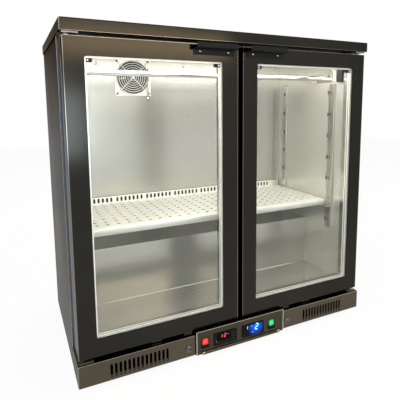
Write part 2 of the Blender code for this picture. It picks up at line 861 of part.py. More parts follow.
def build_side_liner(side):
    """A flat side wall of the chamber, stepped where the floor rises."""
    sign = SIDES[side]
    front = FRAME_BACK + GAP
    rear = CHAMBER_BACK
    outline = [
        (front, FLOOR), (STEP_FRONT, FLOOR), (STEP_FRONT, STEP_TOP), (rear, STEP_TOP),
        (rear, CEILING), (front, CEILING)]
    level = sign * (HALF_CHAMBER + LINER_SHEET / 2)
    return keep(plate(f"liner_{side}", [outline], LINER_SHEET, "x", level), "brushed_steel")


def build_top_liner():
    """The ceiling and the rear wall of the chamber, folded from one sheet."""
    front = FRAME_BACK + GAP
    profile = [(CHAMBER_BACK, STEP_TOP + GAP), (CHAMBER_BACK, CEILING), (front, CEILING)]
    half = HALF_CHAMBER - GAP
    item = folded(
        "liner_ceiling_and_rear", profile, "x", -half, half, LINER_SHEET, TIGHT_FOLD_RADIUS)
    return keep(item, "brushed_steel")


def build_floor_liner():
    """The chamber floor with the raised step over the machinery."""
    front = FRAME_BACK + GAP
    profile = [
        (front, FLOOR), (STEP_FRONT, FLOOR), (STEP_FRONT, STEP_TOP),
        (CHAMBER_BACK, STEP_TOP)]
    half = HALF_CHAMBER - GAP
    item = folded(
        "liner_floor_and_step", profile, "x", -half, half, LINER_SHEET, TIGHT_FOLD_RADIUS)
    return keep(item, "brushed_steel")


def build_duct_panel():
    """The visible back wall: a flanged sheet in front of the cold coil."""
    half = HALF_CHAMBER - GAP
    low = STEP_TOP + GAP
    profile = [(DUCT_FACE, CEILING - GAP), (DUCT_FACE, low), (DUCT_FACE + DUCT_FOOT_DEPTH, low)]
    profile.reverse()
    item = folded("air_duct_panel", profile, "x", -half, half, LINER_SHEET)
    hole = plate(
        "fan_opening", [circle(FAN_X, FAN_Z, FAN_DUCT_RADIUS + GAP, RING_SIDES)], 2 * OVERRUN,
        "y", DUCT_FACE)
    return keep(cut(item, [hole]), "brushed_steel")


def build_front_frame():
    """The face frame that the door seals close on, with a rest under each door."""
    low = KICK_TOP + GAP
    top = APRON_BOTTOM - GAP
    rear = FRAME_FRONT + FRAME_RETURN
    profile = [
        (DOOR_OUTER, rear), (DOOR_OUTER, FRAME_FRONT), (-DOOR_OUTER, FRAME_FRONT),
        (-DOOR_OUTER, rear)]
    item = folded("front_frame", profile, "z", low, top, FRAME_SHEET)
    opening = rectangle(-HALF_CHAMBER, FLOOR, HALF_CHAMBER, OPENING_TOP)
    cutter = plate("frame_opening", [opening], 2 * OVERRUN, "y", FRAME_FRONT)
    rest_low = low + DOOR_REST_LIFT
    rests = [
        box(f"door_rest_{side}",
            (sign * DOOR_REST_X - DOOR_REST_WIDTH / 2, FRAME_FRONT - DOOR_REST_REACH, rest_low),
            (sign * DOOR_REST_X + DOOR_REST_WIDTH / 2, FRAME_FRONT + FRAME_SHEET / 2,
             rest_low + DOOR_REST_SHEET))
        for side, sign in SIDES.items()]
    return keep(combine(cut(item, [cutter]), [gather("door_rests", rests)]), "brushed_steel")


def build_centre_post():
    """The removable post behind the middle of the doors, tucked behind the header."""
    half = MULLION_WIDTH / 2
    rear = FRAME_FRONT + MULLION_DEPTH
    item = box(
        "centre_post", (-half, FRAME_FRONT, FLOOR + GAP), (half, rear, OPENING_TOP - GAP))
    tongue = box(
        "centre_post_tongue", (-half + FRAME_SHEET, FRAME_BACK + GAP, OPENING_TOP - OVERRUN),
        (half - FRAME_SHEET, rear - FRAME_SHEET, CEILING - 2 * GAP - LIGHT_BAR_HEIGHT))
    return keep(combine(item, [tongue]), "brushed_steel")


# Kick panel, control housing and locks

def build_kick_panel():
    """The lower front panel: louvre slots, side returns and a top ledge."""
    low = (-HALF_BODY, FRONT, BASE)
    high = (HALF_BODY, FRAME_FRONT + FRAME_RETURN - GAP, KICK_TOP)
    item = tray("kick_panel", low, high, ["bottom", "rear"], SHEET, FOLD_RADIUS)
    outlines = []
    for centre in (-LOUVRE_CENTRE_X, LOUVRE_CENTRE_X):
        for offset in spread(LOUVRE_SLOTS, LOUVRE_PITCH):
            outlines.append(obround(
                centre + offset, BASE + LOUVRE_CENTRE_HEIGHT, LOUVRE_SLOT_WIDTH,
                LOUVRE_SLOT_HEIGHT, 2))
    for x in (-LOCK_X, LOCK_X):
        outlines.append(circle(x, LOCK_Z, LOCK_BARREL_RADIUS + GAP))
    reach = HOUSING_WIDTH / 2 - KICK_CUTOUT_MARGIN
    half_hole = CONTROLLER_BODY_HEIGHT / 2 + CUTOUT_CLEARANCE
    outlines.append(rectangle(-reach, CONTROL_Z - half_hole, reach, CONTROL_Z + half_hole))
    openings = plate("kick_openings", outlines, 2 * OVERRUN, "y", FRONT)
    cam_front, cam_rear = lock_cam_faces()
    ledge_slots = []
    for sign in SIDES.values():
        ends = sorted((
            sign * (LOCK_X - LOCK_CAM_WIDTH / 2 - LOCK_SLOT_MARGIN),
            sign * (LOCK_X + LOCK_SLOT_REACH)))
        ledge_slots.append(rectangle(
            ends[0], cam_front - LOCK_SLOT_MARGIN, ends[1], cam_rear + LOCK_SLOT_MARGIN))
    slots = plate("ledge_slots", ledge_slots, 2 * OVERRUN, "z", KICK_TOP)
    return keep(cut(item, [openings, slots]), "dark_steel")


def control_places():
    """Centre, width and height of each device in the control housing."""
    return {
        "rocker_red": (RED_ROCKER_X, ROCKER_WIDTH, ROCKER_HEIGHT),
        "controller_temperature": (
            TEMPERATURE_CONTROLLER_X, CONTROLLER_BODY_WIDTH, CONTROLLER_BODY_HEIGHT),
        "controller_humidity": (
            HUMIDITY_CONTROLLER_X, CONTROLLER_BODY_WIDTH, CONTROLLER_BODY_HEIGHT),
        "rocker_green": (GREEN_ROCKER_X, ROCKER_WIDTH, ROCKER_HEIGHT)}


def build_control_housing():
    """A shallow steel housing on the kick panel that carries switches and displays."""
    half = HOUSING_WIDTH / 2
    low = (-half, HOUSING_FRONT, BASE)
    high = (half, FRONT - GAP, BASE + HOUSING_HEIGHT)
    item = tray("control_housing", low, high, ["rear"], HOUSING_SHEET)
    outlines = []
    for x, width, height in control_places().values():
        reach_x = width / 2 + CUTOUT_CLEARANCE
        reach_z = height / 2 + CUTOUT_CLEARANCE
        outlines.append(rectangle(x - reach_x, CONTROL_Z - reach_z, x + reach_x, CONTROL_Z + reach_z))
    openings = plate("housing_openings", outlines, 2 * OVERRUN, "y", HOUSING_FRONT)
    middle = HOUSING_FRONT + HOUSING_SHEET / 2
    sill_low = BASE + SEAM
    sill = [(middle, sill_low), (middle, sill_low + HOUSING_SILL_HEIGHT)]
    sill += [
        (HOUSING_FRONT - HOUSING_SILL_REACH * across, sill_low + HOUSING_SILL_HEIGHT * up)
        for across, up in arc(0, 0, 1, 90, 0, HOUSING_SILL_STEPS)]
    rail = plate("housing_sill", [sill], HOUSING_SILL_LENGTH, "x", 0)
    return keep(combine(cut(item, [openings]), [rail]), "bronze_steel")


def build_rocker(name, finish):
    """A rocker switch cap tipped to its on side, pivoting in the housing."""
    x, width, height = control_places()[name]
    front = HOUSING_FRONT - ROCKER_PROUD
    half = height / 2
    crown = ROCKER_PROUD / 2
    side = [
        (front, half), (front + crown, half / 2), (front + crown, -half / 2),
        (front, -half), (front + ROCKER_BODY_DEPTH, -half / 2),
        (front + ROCKER_BODY_DEPTH, half / 2)]
    centre = HOUSING_FRONT + HOUSING_SHEET
    outline = [(y - centre, z) for y, z in side]
    item = plate(name, [outline], width, "x", x)
    item.data.transform(item.matrix_world)
    item.matrix_world = Matrix.Identity(4)
    item.data.transform(Matrix.Translation((-x, 0, 0)))
    item.location = (x, centre, CONTROL_Z)
    item.rotation_euler = (math.radians(-ROCKER_TILT), 0, 0)
    return keep(item, finish)


def build_controller(name, finish):
    """A digital controller: a flange on the housing's face and a body behind it."""
    x, width, height = control_places()[name]
    half_w = CONTROLLER_WIDTH / 2
    half_h = CONTROLLER_HEIGHT / 2
    face = HOUSING_FRONT - GAP
    item = box(
        name, (x - half_w, face - CONTROLLER_FLANGE, CONTROL_Z - half_h),
        (x + half_w, face, CONTROL_Z + half_h))
    soften(item, CONTROLLER_FLANGE / 2)
    body = box(
        f"{name}_body", (x - width / 2, face - CONTROLLER_FLANGE / 2, CONTROL_Z - height / 2),
        (x + width / 2, face + CONTROLLER_BODY_DEPTH, CONTROL_Z + height / 2))
    return keep(combine(item, [body]), finish)


def lock_cam_faces():
    """The front and rear planes of the lock cams, close behind the kick panel's sheet."""
    front = FRONT + SHEET + LOCK_CAM_CLEARANCE
    return front, front + LOCK_CAM_THICKNESS


def build_lock(side):
    """A key lock: face ring, barrel through the kick panel, cam and the nut that holds it."""
    sign = SIDES[side]
    cam_front, cam_rear = lock_cam_faces()
    face = LOCK_FACE_DEPTH + GAP
    barrel_end = FRONT - (cam_front + cam_rear) / 2
    nut_end = FRONT - cam_rear - LOCK_NUT_DEPTH
    profile = [
        (0, face), (LOCK_FACE_RADIUS - LOCK_FACE_DEPTH, face),
        (LOCK_FACE_RADIUS, face - LOCK_FACE_DEPTH / 2), (LOCK_FACE_RADIUS, GAP),
        (LOCK_BARREL_RADIUS, GAP), (LOCK_BARREL_RADIUS, barrel_end),
        (LOCK_NUT_RADIUS, barrel_end), (LOCK_NUT_RADIUS, nut_end), (0, nut_end)]
    name = f"lock_{side}"
    x = sign * LOCK_X
    item = turned(name, profile, (x, FRONT, LOCK_Z), axis="y")
    half = LOCK_CAM_WIDTH / 2
    ends = sorted((x, x + sign * LOCK_CAM_LENGTH))
    cam = box(
        f"{name}_cam", (ends[0], cam_front, LOCK_Z - half), (ends[1], cam_rear, LOCK_Z + half))
    keyway = box(
        f"{name}_keyway",
        (x - KEYWAY_WIDTH / 2, FRONT - face - OVERRUN, LOCK_Z - KEYWAY_LENGTH / 2),
        (x + KEYWAY_WIDTH / 2, FRONT - face + KEYWAY_DEPTH, LOCK_Z + KEYWAY_LENGTH / 2))
    combine(item, [cam])
    cut(item, [keyway])
    return keep(item, "chrome")


# Doors

def door_span(side, inner, outer):
    """The lowest and highest x of a stretch given by its distances from the middle."""
    sign = SIDES[side]
    return sorted((sign * inner, sign * outer))


def build_door(side):
    """One framed double-glazed door with its seal and pull, hung on its hinge axis."""
    sign = SIDES[side]
    pivot = pivot_at(f"hinge_axis_{side}", (sign * HINGE_X, HINGE_Y, DOOR_BOTTOM))
    pieces = [
        build_door_frame(side), *build_glazing(side), build_gasket(side), build_pull(side)]
    for piece in pieces:
        hang_on(piece, pivot)


def build_door_frame(side):
    """The door's frame: window, glazing groove and a bore for each hinge pin."""
    sign = SIDES[side]
    low, high = door_span(side, DOOR_INNER, DOOR_OUTER)
    window = door_span(side, WINDOW_INNER, WINDOW_OUTER)
    outlines = [
        rounded_rectangle(low, DOOR_BOTTOM, high, DOOR_TOP, DOOR_EDGE_RADIUS, 2),
        rounded_rectangle(window[0], WINDOW_BOTTOM, window[1], WINDOW_TOP, WINDOW_CORNER_RADIUS)]
    middle = (DOOR_FRONT + DOOR_BACK) / 2
    item = plate(f"door_frame_{side}", outlines, DOOR_THICKNESS, "y", middle)
    unit = 2 * GLASS + GLASS_CAVITY
    groove_front = DOOR_FRONT + FRONT_LIP
    groove = box(
        f"glazing_groove_{side}",
        (window[0] - GLAZING_BITE - GAP, groove_front, WINDOW_BOTTOM - GLAZING_BITE - GAP),
        (window[1] + GLAZING_BITE + GAP, groove_front + unit + 2 * GAP,
         WINDOW_TOP + GLAZING_BITE + GAP))
    bores = []
    x = sign * HINGE_X
    bore = HINGE_PIN_RADIUS + GAP
    for end, level, inward in (("top", DOOR_TOP, -1), ("bottom", DOOR_BOTTOM, 1)):
        reach = level + inward * (HINGE_PIN_REACH + GAP)
        bores.append(rod(
            f"hinge_bore_{end}_{side}", bore, (x, HINGE_Y, level - inward * OVERRUN),
            (x, HINGE_Y, reach), PIN_SIDES))
    strike_front = DOOR_FRONT + STRIKE_INSET
    strike = box(
        f"lock_strike_{side}",
        (sign * LOCK_X - STRIKE_WIDTH / 2, strike_front, KICK_TOP + STRIKE_LIFT),
        (sign * LOCK_X + STRIKE_WIDTH / 2, strike_front + STRIKE_SHEET, DOOR_BOTTOM + OVERRUN))
    return keep(combine(cut(item, [groove, *bores]), [strike]), "dark_steel")


def build_glazing(side):
    """The sealed glazing unit: outer pane, spacer frame and inner pane."""
    window = door_span(side, WINDOW_INNER, WINDOW_OUTER)
    low = (window[0] - GLAZING_BITE, WINDOW_BOTTOM - GLAZING_BITE)
    high = (window[1] + GLAZING_BITE, WINDOW_TOP + GLAZING_BITE)
    front = DOOR_FRONT + FRONT_LIP + GAP
    outer = box(
        f"door_glass_outer_{side}", (low[0], front, low[1]), (high[0], front + GLASS - GAP, high[1]))
    rear = front + GLASS + GLASS_CAVITY
    inner = box(
        f"door_glass_inner_{side}", (low[0], rear + GAP, low[1]), (high[0], rear + GLASS, high[1]))
    show = SPACER_SHOW
    hole = rectangle(
        window[0] + show, WINDOW_BOTTOM + show, window[1] - show, WINDOW_TOP - show)
    ring = rectangle(
        window[0] + show - SPACER_WIDTH, WINDOW_BOTTOM + show - SPACER_WIDTH,
        window[1] - show + SPACER_WIDTH, WINDOW_TOP - show + SPACER_WIDTH)
    spacer = plate(
        f"glazing_spacer_{side}", [ring, hole], GLASS_CAVITY, "y",
        front + GLASS + GLASS_CAVITY / 2)
    keep(outer, "glass")
    keep(inner, "glass")
    keep(spacer, "aluminium")
    return outer, inner, spacer


def build_gasket(side):
    """The magnetic seal round the door's back: a base strip and a narrower nose."""
    low, high = door_span(side, DOOR_INNER, DOOR_OUTER)
    inset = GASKET_INSET
    outer = rectangle(low + inset, DOOR_BOTTOM + inset, high - inset, DOOR_TOP - inset)
    inset = GASKET_INSET + GASKET_WIDTH
    inner = rectangle(low + inset, DOOR_BOTTOM + inset, high - inset, DOOR_TOP - inset)
    front = DOOR_BACK + GAP
    name = f"door_gasket_{side}"
    item = plate(name, [outer, inner], GASKET_BASE, "y", front + GASKET_BASE / 2)
    trim = (GASKET_WIDTH - GASKET_LIP_WIDTH) / 2
    inset = GASKET_INSET + trim
    nose_outer = rectangle(low + inset, DOOR_BOTTOM + inset, high - inset, DOOR_TOP - inset)
    inset = inset + GASKET_LIP_WIDTH
    nose_inner = rectangle(low + inset, DOOR_BOTTOM + inset, high - inset, DOOR_TOP - inset)
    nose_front = front + GASKET_BASE / 2
    nose_rear = FRAME_FRONT - GAP
    nose = plate(
        f"{name}_nose", [nose_outer, nose_inner], nose_rear - nose_front, "y",
        (nose_front + nose_rear) / 2)
    return keep(combine(item, [nose]), "rubber")


def build_pull(side):
    """A folded pull: a strip screwed to the door, a shelf and an upturned lip."""
    sign = SIDES[side]
    face = DOOR_FRONT - GAP
    low = APRON_BOTTOM - DOOR_TOP_GAP - PULL_STRIP_DROP
    bend = low + PULL_STRIP_HEIGHT
    front = DOOR_FRONT - PULL_REACH
    profile = [
        (face, low), (face, bend), (front + PULL_SHEET, bend),
        (front + PULL_SHEET, bend + PULL_LIP_HEIGHT)]
    start = sign * PULL_CENTRE_X - PULL_LENGTH / 2
    profile.reverse()
    item = folded(
        f"door_pull_{side}", profile, "x", start, start + PULL_LENGTH, PULL_SHEET)
    screws = [
        rod(f"pull_screw_{side}_{index}", PULL_SCREW_RADIUS,
            (sign * PULL_CENTRE_X + offset, face - PULL_SHEET / 2, low + PULL_SCREW_LIFT),
            (sign * PULL_CENTRE_X + offset, face - 2 * PULL_SHEET, low + PULL_SCREW_LIFT),
            sides=SCREW_SIDES)
        for index, offset in enumerate(spread(2, PULL_SCREW_SPACING))]
    return keep(combine(item, screws), "black_metal")


def build_hinge(side, end):
    """A hinge bracket with its pin and collar, and a leaf up the front frame."""
    sign = SIDES[side]
    name = f"hinge_{end}_{side}"
    outer = sign * DOOR_OUTER
    inner = sign * (DOOR_OUTER - HINGE_PLATE_WIDTH)
    leaf_inner = sign * (DOOR_OUTER - HINGE_LEAF_WIDTH)
    front = DOOR_FRONT
    rear = front + HINGE_PLATE_DEPTH
    leaf_rear = FRAME_FRONT - GAP
    x = sign * HINGE_X
    if end == "top":
        plate_low = APRON_BOTTOM - GAP - HINGE_PLATE
        pin_end = DOOR_TOP - HINGE_PIN_REACH
        collar_end = DOOR_TOP + GAP
        leaf_low, leaf_high = plate_low + HINGE_PLATE - HINGE_LEAF_HEIGHT, plate_low + HINGE_LEAF
    else:
        plate_low = KICK_TOP + GAP
        pin_end = DOOR_BOTTOM + HINGE_PIN_REACH
        collar_end = DOOR_BOTTOM - GAP
        leaf_low, leaf_high = plate_low + HINGE_PLATE - HINGE_LEAF, plate_low + HINGE_LEAF_HEIGHT
    outline = [
        (outer, front), (outer, leaf_rear), (leaf_inner, leaf_rear), (leaf_inner, rear),
        (inner, rear), (inner, front)]
    item = plate(name, [outline], HINGE_PLATE, "z", plate_low + HINGE_PLATE / 2)
    middle = plate_low + HINGE_PLATE / 2
    collar = rod(
        f"{name}_collar", HINGE_COLLAR_RADIUS, (x, HINGE_Y, middle), (x, HINGE_Y, collar_end))
    pin_start = (middle + collar_end) / 2
    pin = rod(
        f"{name}_pin", HINGE_PIN_RADIUS, (x, HINGE_Y, pin_start), (x, HINGE_Y, pin_end),
        PIN_SIDES)
    ends = sorted((outer - sign * SEAM, leaf_inner + sign * SEAM))
    leaf = box(
        f"{name}_leaf", (ends[0], leaf_rear - SEAM - HINGE_LEAF, leaf_low),
        (ends[1], leaf_rear - SEAM, leaf_high))
    return keep(combine(item, [collar, pin, leaf]), "bright_steel")


# Inside fittings

def post_places():
    """The four slotted posts: side and the y of the post's middle."""
    front, rear = FRONT + POST_FRONT_SETBACK, BACK - POST_REAR_SETBACK
    return {
        "front_left": ("left", front), "front_right": ("right", front),
        "rear_left": ("left", rear), "rear_right": ("right", rear)}


def build_post(place):
    """A slotted channel on the side wall, with the shelf clip hooked into it."""
    side, y = post_places()[place]
    sign = SIDES[side]
    low = STEP_TOP + GAP
    top = CEILING - POST_TOP_DROP
    front, rear = y - POST_WIDTH / 2, y + POST_WIDTH / 2
    name = f"post_{place}"
    face = sign * POST_FACE
    wall = sign * (HALF_CHAMBER - GAP)
    profile = [(wall, rear), (face, rear), (face, front), (wall, front)]
    if sign > 0:
        profile.reverse()
    item = folded(name, profile, "z", low, top, POST_SHEET)
    slots = [
        obround(y, top - POST_TOP_SLOT_DROP - index * POST_SLOT_PITCH, POST_SLOT_WIDTH,
                POST_SLOT_HEIGHT, 1)
        for index in range(1 + steps_within(
            top - POST_TOP_SLOT_DROP - low - POST_LOW_SLOT_RISE, POST_SLOT_PITCH))]
    openings = plate(f"{name}_slots", slots, OVERRUN, "x", face)
    clip_top = SHELF_TOP - SHELF_LIP - GAP
    clip_low = clip_top - CLIP_SHEET
    half = CLIP_WIDTH / 2
    tongue = CLIP_TONGUE if place.startswith("front") else half
    ledge = sorted((sign * (POST_FACE + POST_SHEET / 2), sign * (POST_FACE - CLIP_REACH)))
    hook = sorted((
        sign * (POST_FACE + POST_SHEET / 2 + SEAM), sign * (POST_FACE - CLIP_BACK_SHEET)))
    clip = [
        box(f"{name}_clip_ledge", (ledge[0], y - half, clip_low), (ledge[1], y + tongue, clip_top)),
        box(f"{name}_clip_hook", (hook[0], y - half + SEAM, clip_low + SEAM),
            (hook[1], y + half - SEAM, SHELF_TOP + CLIP_BACK_RISE))]
    return keep(combine(cut(item, [openings]), clip, solver="MANIFOLD"), "brushed_steel")


def shelf_edge():
    """The shelf's outline from its right rear corner round the front to the left one."""
    half = SHELF_HALF_WIDTH
    post = BACK - POST_REAR_SETBACK
    reach = POST_WIDTH / 2 + SHELF_NOTCH_CLEARANCE
    right = [
        (half, SHELF_BACK), (half, post + reach), (SHELF_NOTCH_HALF, post + reach),
        (SHELF_NOTCH_HALF, post - reach), (half, post - reach), (half, SHELF_FRONT)]
    return right + [(-x, y) for x, y in reversed(right)]


def build_shelf():
    """The perforated shelf: folded lips, and slots in the upstand at its rear."""
    edge = shelf_edge()
    _, rim = sheet_sides(edge, SHELF_SHEET / 2, FOLD_RADIUS)
    outlines = [rim[::-1]]
    first = SHELF_FRONT + SHELF_FIRST_ROW
    rows = 1 + steps_within(SHELF_BACK - SHELF_HOLE_MARGIN - first, SHELF_HOLE_PITCH)
    for x in spread_within(SHELF_NOTCH_HALF - SHELF_HOLE_MARGIN, SHELF_HOLE_PITCH):
        for row in range(rows):
            outlines.append(circle(
                x, first + row * SHELF_HOLE_PITCH, SHELF_HOLE_RADIUS, SHELF_HOLE_SIDES))
    item = plate("shelf", outlines, SHELF_SHEET, "z", SHELF_TOP - SHELF_SHEET / 2)
    low = SHELF_TOP - SHELF_LIP
    lip = folded("shelf_lip", edge, "z", low, SHELF_TOP - SHELF_SHEET / 2, SHELF_SHEET)
    half = SHELF_HALF_WIDTH - SEAM
    back_low = SHELF_TOP - SHELF_SHEET + SEAM
    back_outlines = [rectangle(-half, back_low, half, SHELF_TOP + SHELF_UPSTAND)]
    group_half = UPSTAND_SLOTS_PER_GROUP * UPSTAND_SLOT_PITCH / 2
    for group in spread_within(half - group_half, UPSTAND_GROUP_PITCH):
        for offset in spread(UPSTAND_SLOTS_PER_GROUP, UPSTAND_SLOT_PITCH):
            back_outlines.append(obround(
                group + offset, SHELF_TOP + UPSTAND_SLOT_LIFT, UPSTAND_SLOT_WIDTH,
                UPSTAND_SLOT_HEIGHT, 1))
    upstand = plate(
        "shelf_upstand", back_outlines, SHELF_SHEET, "y", SHELF_BACK)
    return keep(combine(item, [lip, upstand], solver="MANIFOLD"), "brushed_steel")


def build_rail():
    """The round hanging rail, an open tube between its two wall brackets."""
    half = HALF_CHAMBER - GAP - BRACKET_PLATE - GAP
    item = rod("hanging_rail", RAIL_RADIUS, (-half, RAIL_Y, RAIL_Z), (half, RAIL_Y, RAIL_Z))
    bore = rod(
        "rail_bore", RAIL_RADIUS - RAIL_WALL, (-half - OVERRUN, RAIL_Y, RAIL_Z),
        (half + OVERRUN, RAIL_Y, RAIL_Z))
    return keep(cut(item, [bore]), "bright_steel")


def build_rail_bracket(side):
    """A wall plate with two screws and the cup that holds the rail's end."""
    sign = SIDES[side]
    name = f"rail_bracket_{side}"
    wall = HALF_CHAMBER - GAP
    ends = sorted((sign * wall, sign * (wall - BRACKET_PLATE)))
    middle = RAIL_Z + BRACKET_RISE
    half_w = BRACKET_WIDTH / 2
    half_h = BRACKET_HEIGHT / 2
    item = box(
        name, (ends[0], RAIL_Y - half_w, middle - half_h), (ends[1], RAIL_Y + half_w, middle + half_h))
    inner = sign * (wall - BRACKET_PLATE / 2)
    cup_end = sign * (wall - BRACKET_PLATE - BRACKET_CUP_DEPTH)
    cup = rod(f"{name}_cup", BRACKET_CUP_RADIUS, (inner, RAIL_Y, RAIL_Z), (cup_end, RAIL_Y, RAIL_Z))
    socket_start = sign * (wall - BRACKET_PLATE + SEAM)
    socket = rod(
        f"{name}_socket", RAIL_RADIUS + GAP, (socket_start, RAIL_Y, RAIL_Z),
        (cup_end - sign * OVERRUN, RAIL_Y, RAIL_Z))
    screws = [
        rod(f"{name}_screw_{index}", BRACKET_SCREW_RADIUS, (inner, RAIL_Y + offset, middle),
            (sign * (wall - BRACKET_PLATE - BRACKET_SCREW_HEAD), RAIL_Y + offset, middle),
            SCREW_SIDES)
        for index, offset in enumerate(spread(2, BRACKET_SCREW_SPACING))]
    combine(item, [cup, *screws])
    cut(item, [socket])
    return keep(item, "bright_steel")


def build_hook(side, x):
    """An S-hook of round wire whose upper bend rides on the rail."""
    crook = RAIL_RADIUS + HOOK_CLEARANCE + HOOK_WIRE_RADIUS
    points = arc(0, 0, crook, HOOK_END_ANGLE, HOOK_SHANK_ANGLE, HOOK_CROOK_STEPS)
    shank_y, shank_z = points[-1]
    bowl_z = shank_z - HOOK_SHANK
    points += arc(
        shank_y - HOOK_BOWL_RADIUS, bowl_z, HOOK_BOWL_RADIUS, 0, -HOOK_BOWL_TURN, HOOK_BOWL_STEPS)
    points.append((points[-1][0], bowl_z + HOOK_BOWL_RADIUS))
    route = [(x, RAIL_Y + y, RAIL_Z + z) for y, z in points]
    return keep(wire(f"meat_hook_{side}", route, HOOK_WIRE_RADIUS), "bright_steel")


def build_light_bar():
    """The light bar under the front of the ceiling, with a holder block at each end."""
    front = FRAME_BACK + GAP
    top = CEILING - GAP
    half = HALF_CHAMBER - GAP
    item = box(
        "light_bar", (-half, front, top - LIGHT_BAR_HEIGHT), (half, front + LIGHT_BAR_DEPTH, top))
    blocks = []
    for side, sign in SIDES.items():
        ends = sorted((sign * half, sign * (half - LIGHT_END_WIDTH)))
        blocks.append(box(
            f"light_block_{side}", (ends[0], front, top - LIGHT_END_HEIGHT),
            (ends[1], front + LIGHT_END_DEPTH, top)))
    combine(item, blocks)
    return keep(item, "black_plastic")


# Circulation fan

def fan_strut_front():
    """The front plane of the struts that carry the circulation fan's motor."""
    return DUCT_FACE - GAP - FAN_FLANGE_SHEET + FAN_DUCT_DEPTH - SEAM - FAN_STRUT_DEPTH


def build_fan_housing():
    """The fan's duct ring with a square flange, struts and the fixed spindle."""
    half = FAN_FLANGE / 2
    flange_rear = DUCT_FACE - GAP
    flange_front = flange_rear - FAN_FLANGE_SHEET
    inner = FAN_DUCT_RADIUS - FAN_DUCT_WALL
    wall_middle = FAN_DUCT_RADIUS - FAN_DUCT_WALL / 2
    outlines = [
        rounded_rectangle(
            FAN_X - half, FAN_Z - half, FAN_X + half, FAN_Z + half, FAN_FLANGE_CORNER, 2),
        circle(FAN_X, FAN_Z, wall_middle, RING_SIDES)]
    item = plate(
        "fan_housing", outlines, FAN_FLANGE_SHEET, "y", (flange_front + flange_rear) / 2)
    front = flange_front + SEAM
    rear = flange_front + FAN_DUCT_DEPTH
    duct = plate(
        "fan_duct",
        [circle(FAN_X, FAN_Z, radius, RING_SIDES) for radius in (FAN_DUCT_RADIUS, inner)],
        rear - front, "y", (front + rear) / 2)
    strut = FAN_STRUT_WIDTH / 2
    strut_front = fan_strut_front()
    strut_rear = strut_front + FAN_STRUT_DEPTH
    reach = wall_middle
    quarter = [(strut, reach), (strut, strut), (reach, strut)]
    cross = []
    for turn in range(4):
        angle = -math.pi / 2 * turn
        cross += [
            (FAN_X + u * math.cos(angle) - v * math.sin(angle),
             FAN_Z + u * math.sin(angle) + v * math.cos(angle)) for u, v in quarter]
    spider = plate("fan_struts", [cross], FAN_STRUT_DEPTH, "y", (strut_front + strut_rear) / 2)
    mount = rod(
        "fan_motor_plate", FAN_HUB_RADIUS, (FAN_X, strut_front - SEAM, FAN_Z),
        (FAN_X, strut_rear - SEAM, FAN_Z))
    spindle = rod(
        "fan_spindle", FAN_SPINDLE_RADIUS, (FAN_X, strut_front - FAN_HUB_DEPTH / 2, FAN_Z),
        (FAN_X, (strut_front + strut_rear) / 2, FAN_Z), PIN_SIDES)
    return keep(combine(item, [duct, spider, mount, spindle], solver="MANIFOLD"), "black_plastic")


def build_rotor(name, centre, hub_radius, hub_depth, tip_radius, blades, chord, finish):
    """An axial rotor: a hub with a blind spindle bore and pitched blades."""
    x, front, z = centre
    rear = front + hub_depth
    item = rod(name, hub_radius, (x, front, z), (x, rear, z))
    item.location = (x, (front + rear) / 2, z)
    tip = math.sqrt(tip_radius ** 2 - (chord / 2) ** 2)
    tools = []
    for index in range(blades):
        blade = box(
            f"{name}_blade_{index}", (0, 0, 0), (tip - hub_radius / 2, FAN_BLADE_SHEET, chord))
        reach = (tip + hub_radius / 2) / 2
        turn = Matrix.Rotation(2 * math.pi * index / blades, 4, "Y")
        pitch = Matrix.Rotation(math.radians(FAN_BLADE_PITCH), 4, "X")
        middle = Matrix.Translation((x, (front + rear) / 2, z))
        blade.matrix_world = middle @ turn @ Matrix.Translation((reach, 0, 0)) @ pitch
        tools.append(blade)
    combine(item, tools)
    bore = rod(
        f"{name}_bore", FAN_SPINDLE_RADIUS + GAP, (x, rear + OVERRUN, z),
        (x, front + hub_depth / 4, z), PIN_SIDES)
    cut(item, [bore])
    return keep(item, finish)


def build_fan_grille():
    """The wire guard: concentric rings welded to four spokes that end in screw eyes."""
    y = DUCT_FACE - GAP - FAN_FLANGE_SHEET - GAP - GRILLE_STANDOFF
    item = rod(
        "fan_grille", GRILLE_HUB_RADIUS, (FAN_X, y - GRILLE_HUB_THICKNESS / 2, FAN_Z),
        (FAN_X, y + GRILLE_HUB_THICKNESS / 2, FAN_Z), ROUND_SIDES)
    tools = []
    for index in range(GRILLE_RINGS):
        radius = GRILLE_OUTER_RADIUS - index * GRILLE_RING_PITCH
        bpy.ops.mesh.primitive_torus_add(
            major_segments=GRILLE_RING_FACES, minor_segments=GRILLE_WIRE_SIDES, major_radius=radius,
            minor_radius=GRILLE_WIRE_RADIUS, location=(FAN_X, y, FAN_Z),
            rotation=(math.radians(90), math.pi / GRILLE_RING_FACES, 0))
        ring = bpy.context.object
        ring.name = f"grille_ring_{index}"
        tools.append(ring)
    reach = GRILLE_EYE_SPACING / 2
    flange = DUCT_FACE - 2 * GAP - FAN_FLANGE_SHEET
    eye_depth = flange - y
    for index in range(GRILLE_SPOKES):
        turn = 2 * math.pi * (index + 1 / 2) / GRILLE_SPOKES
        eye_x = FAN_X + reach * math.copysign(1, math.cos(turn))
        eye_z = FAN_Z + reach * math.copysign(1, math.sin(turn))
        tools.append(rod(
            f"grille_spoke_{index}", GRILLE_WIRE_RADIUS, (FAN_X, y, FAN_Z), (eye_x, y, eye_z),
            TUBE_SIDES))
        tools.append(rod(
            f"grille_eye_{index}", GRILLE_EYE_RADIUS, (eye_x, y - GRILLE_WIRE_RADIUS - SEAM, eye_z),
            (eye_x, y + eye_depth, eye_z), SCREW_SIDES))
    return keep(combine(item, tools), "bright_steel")


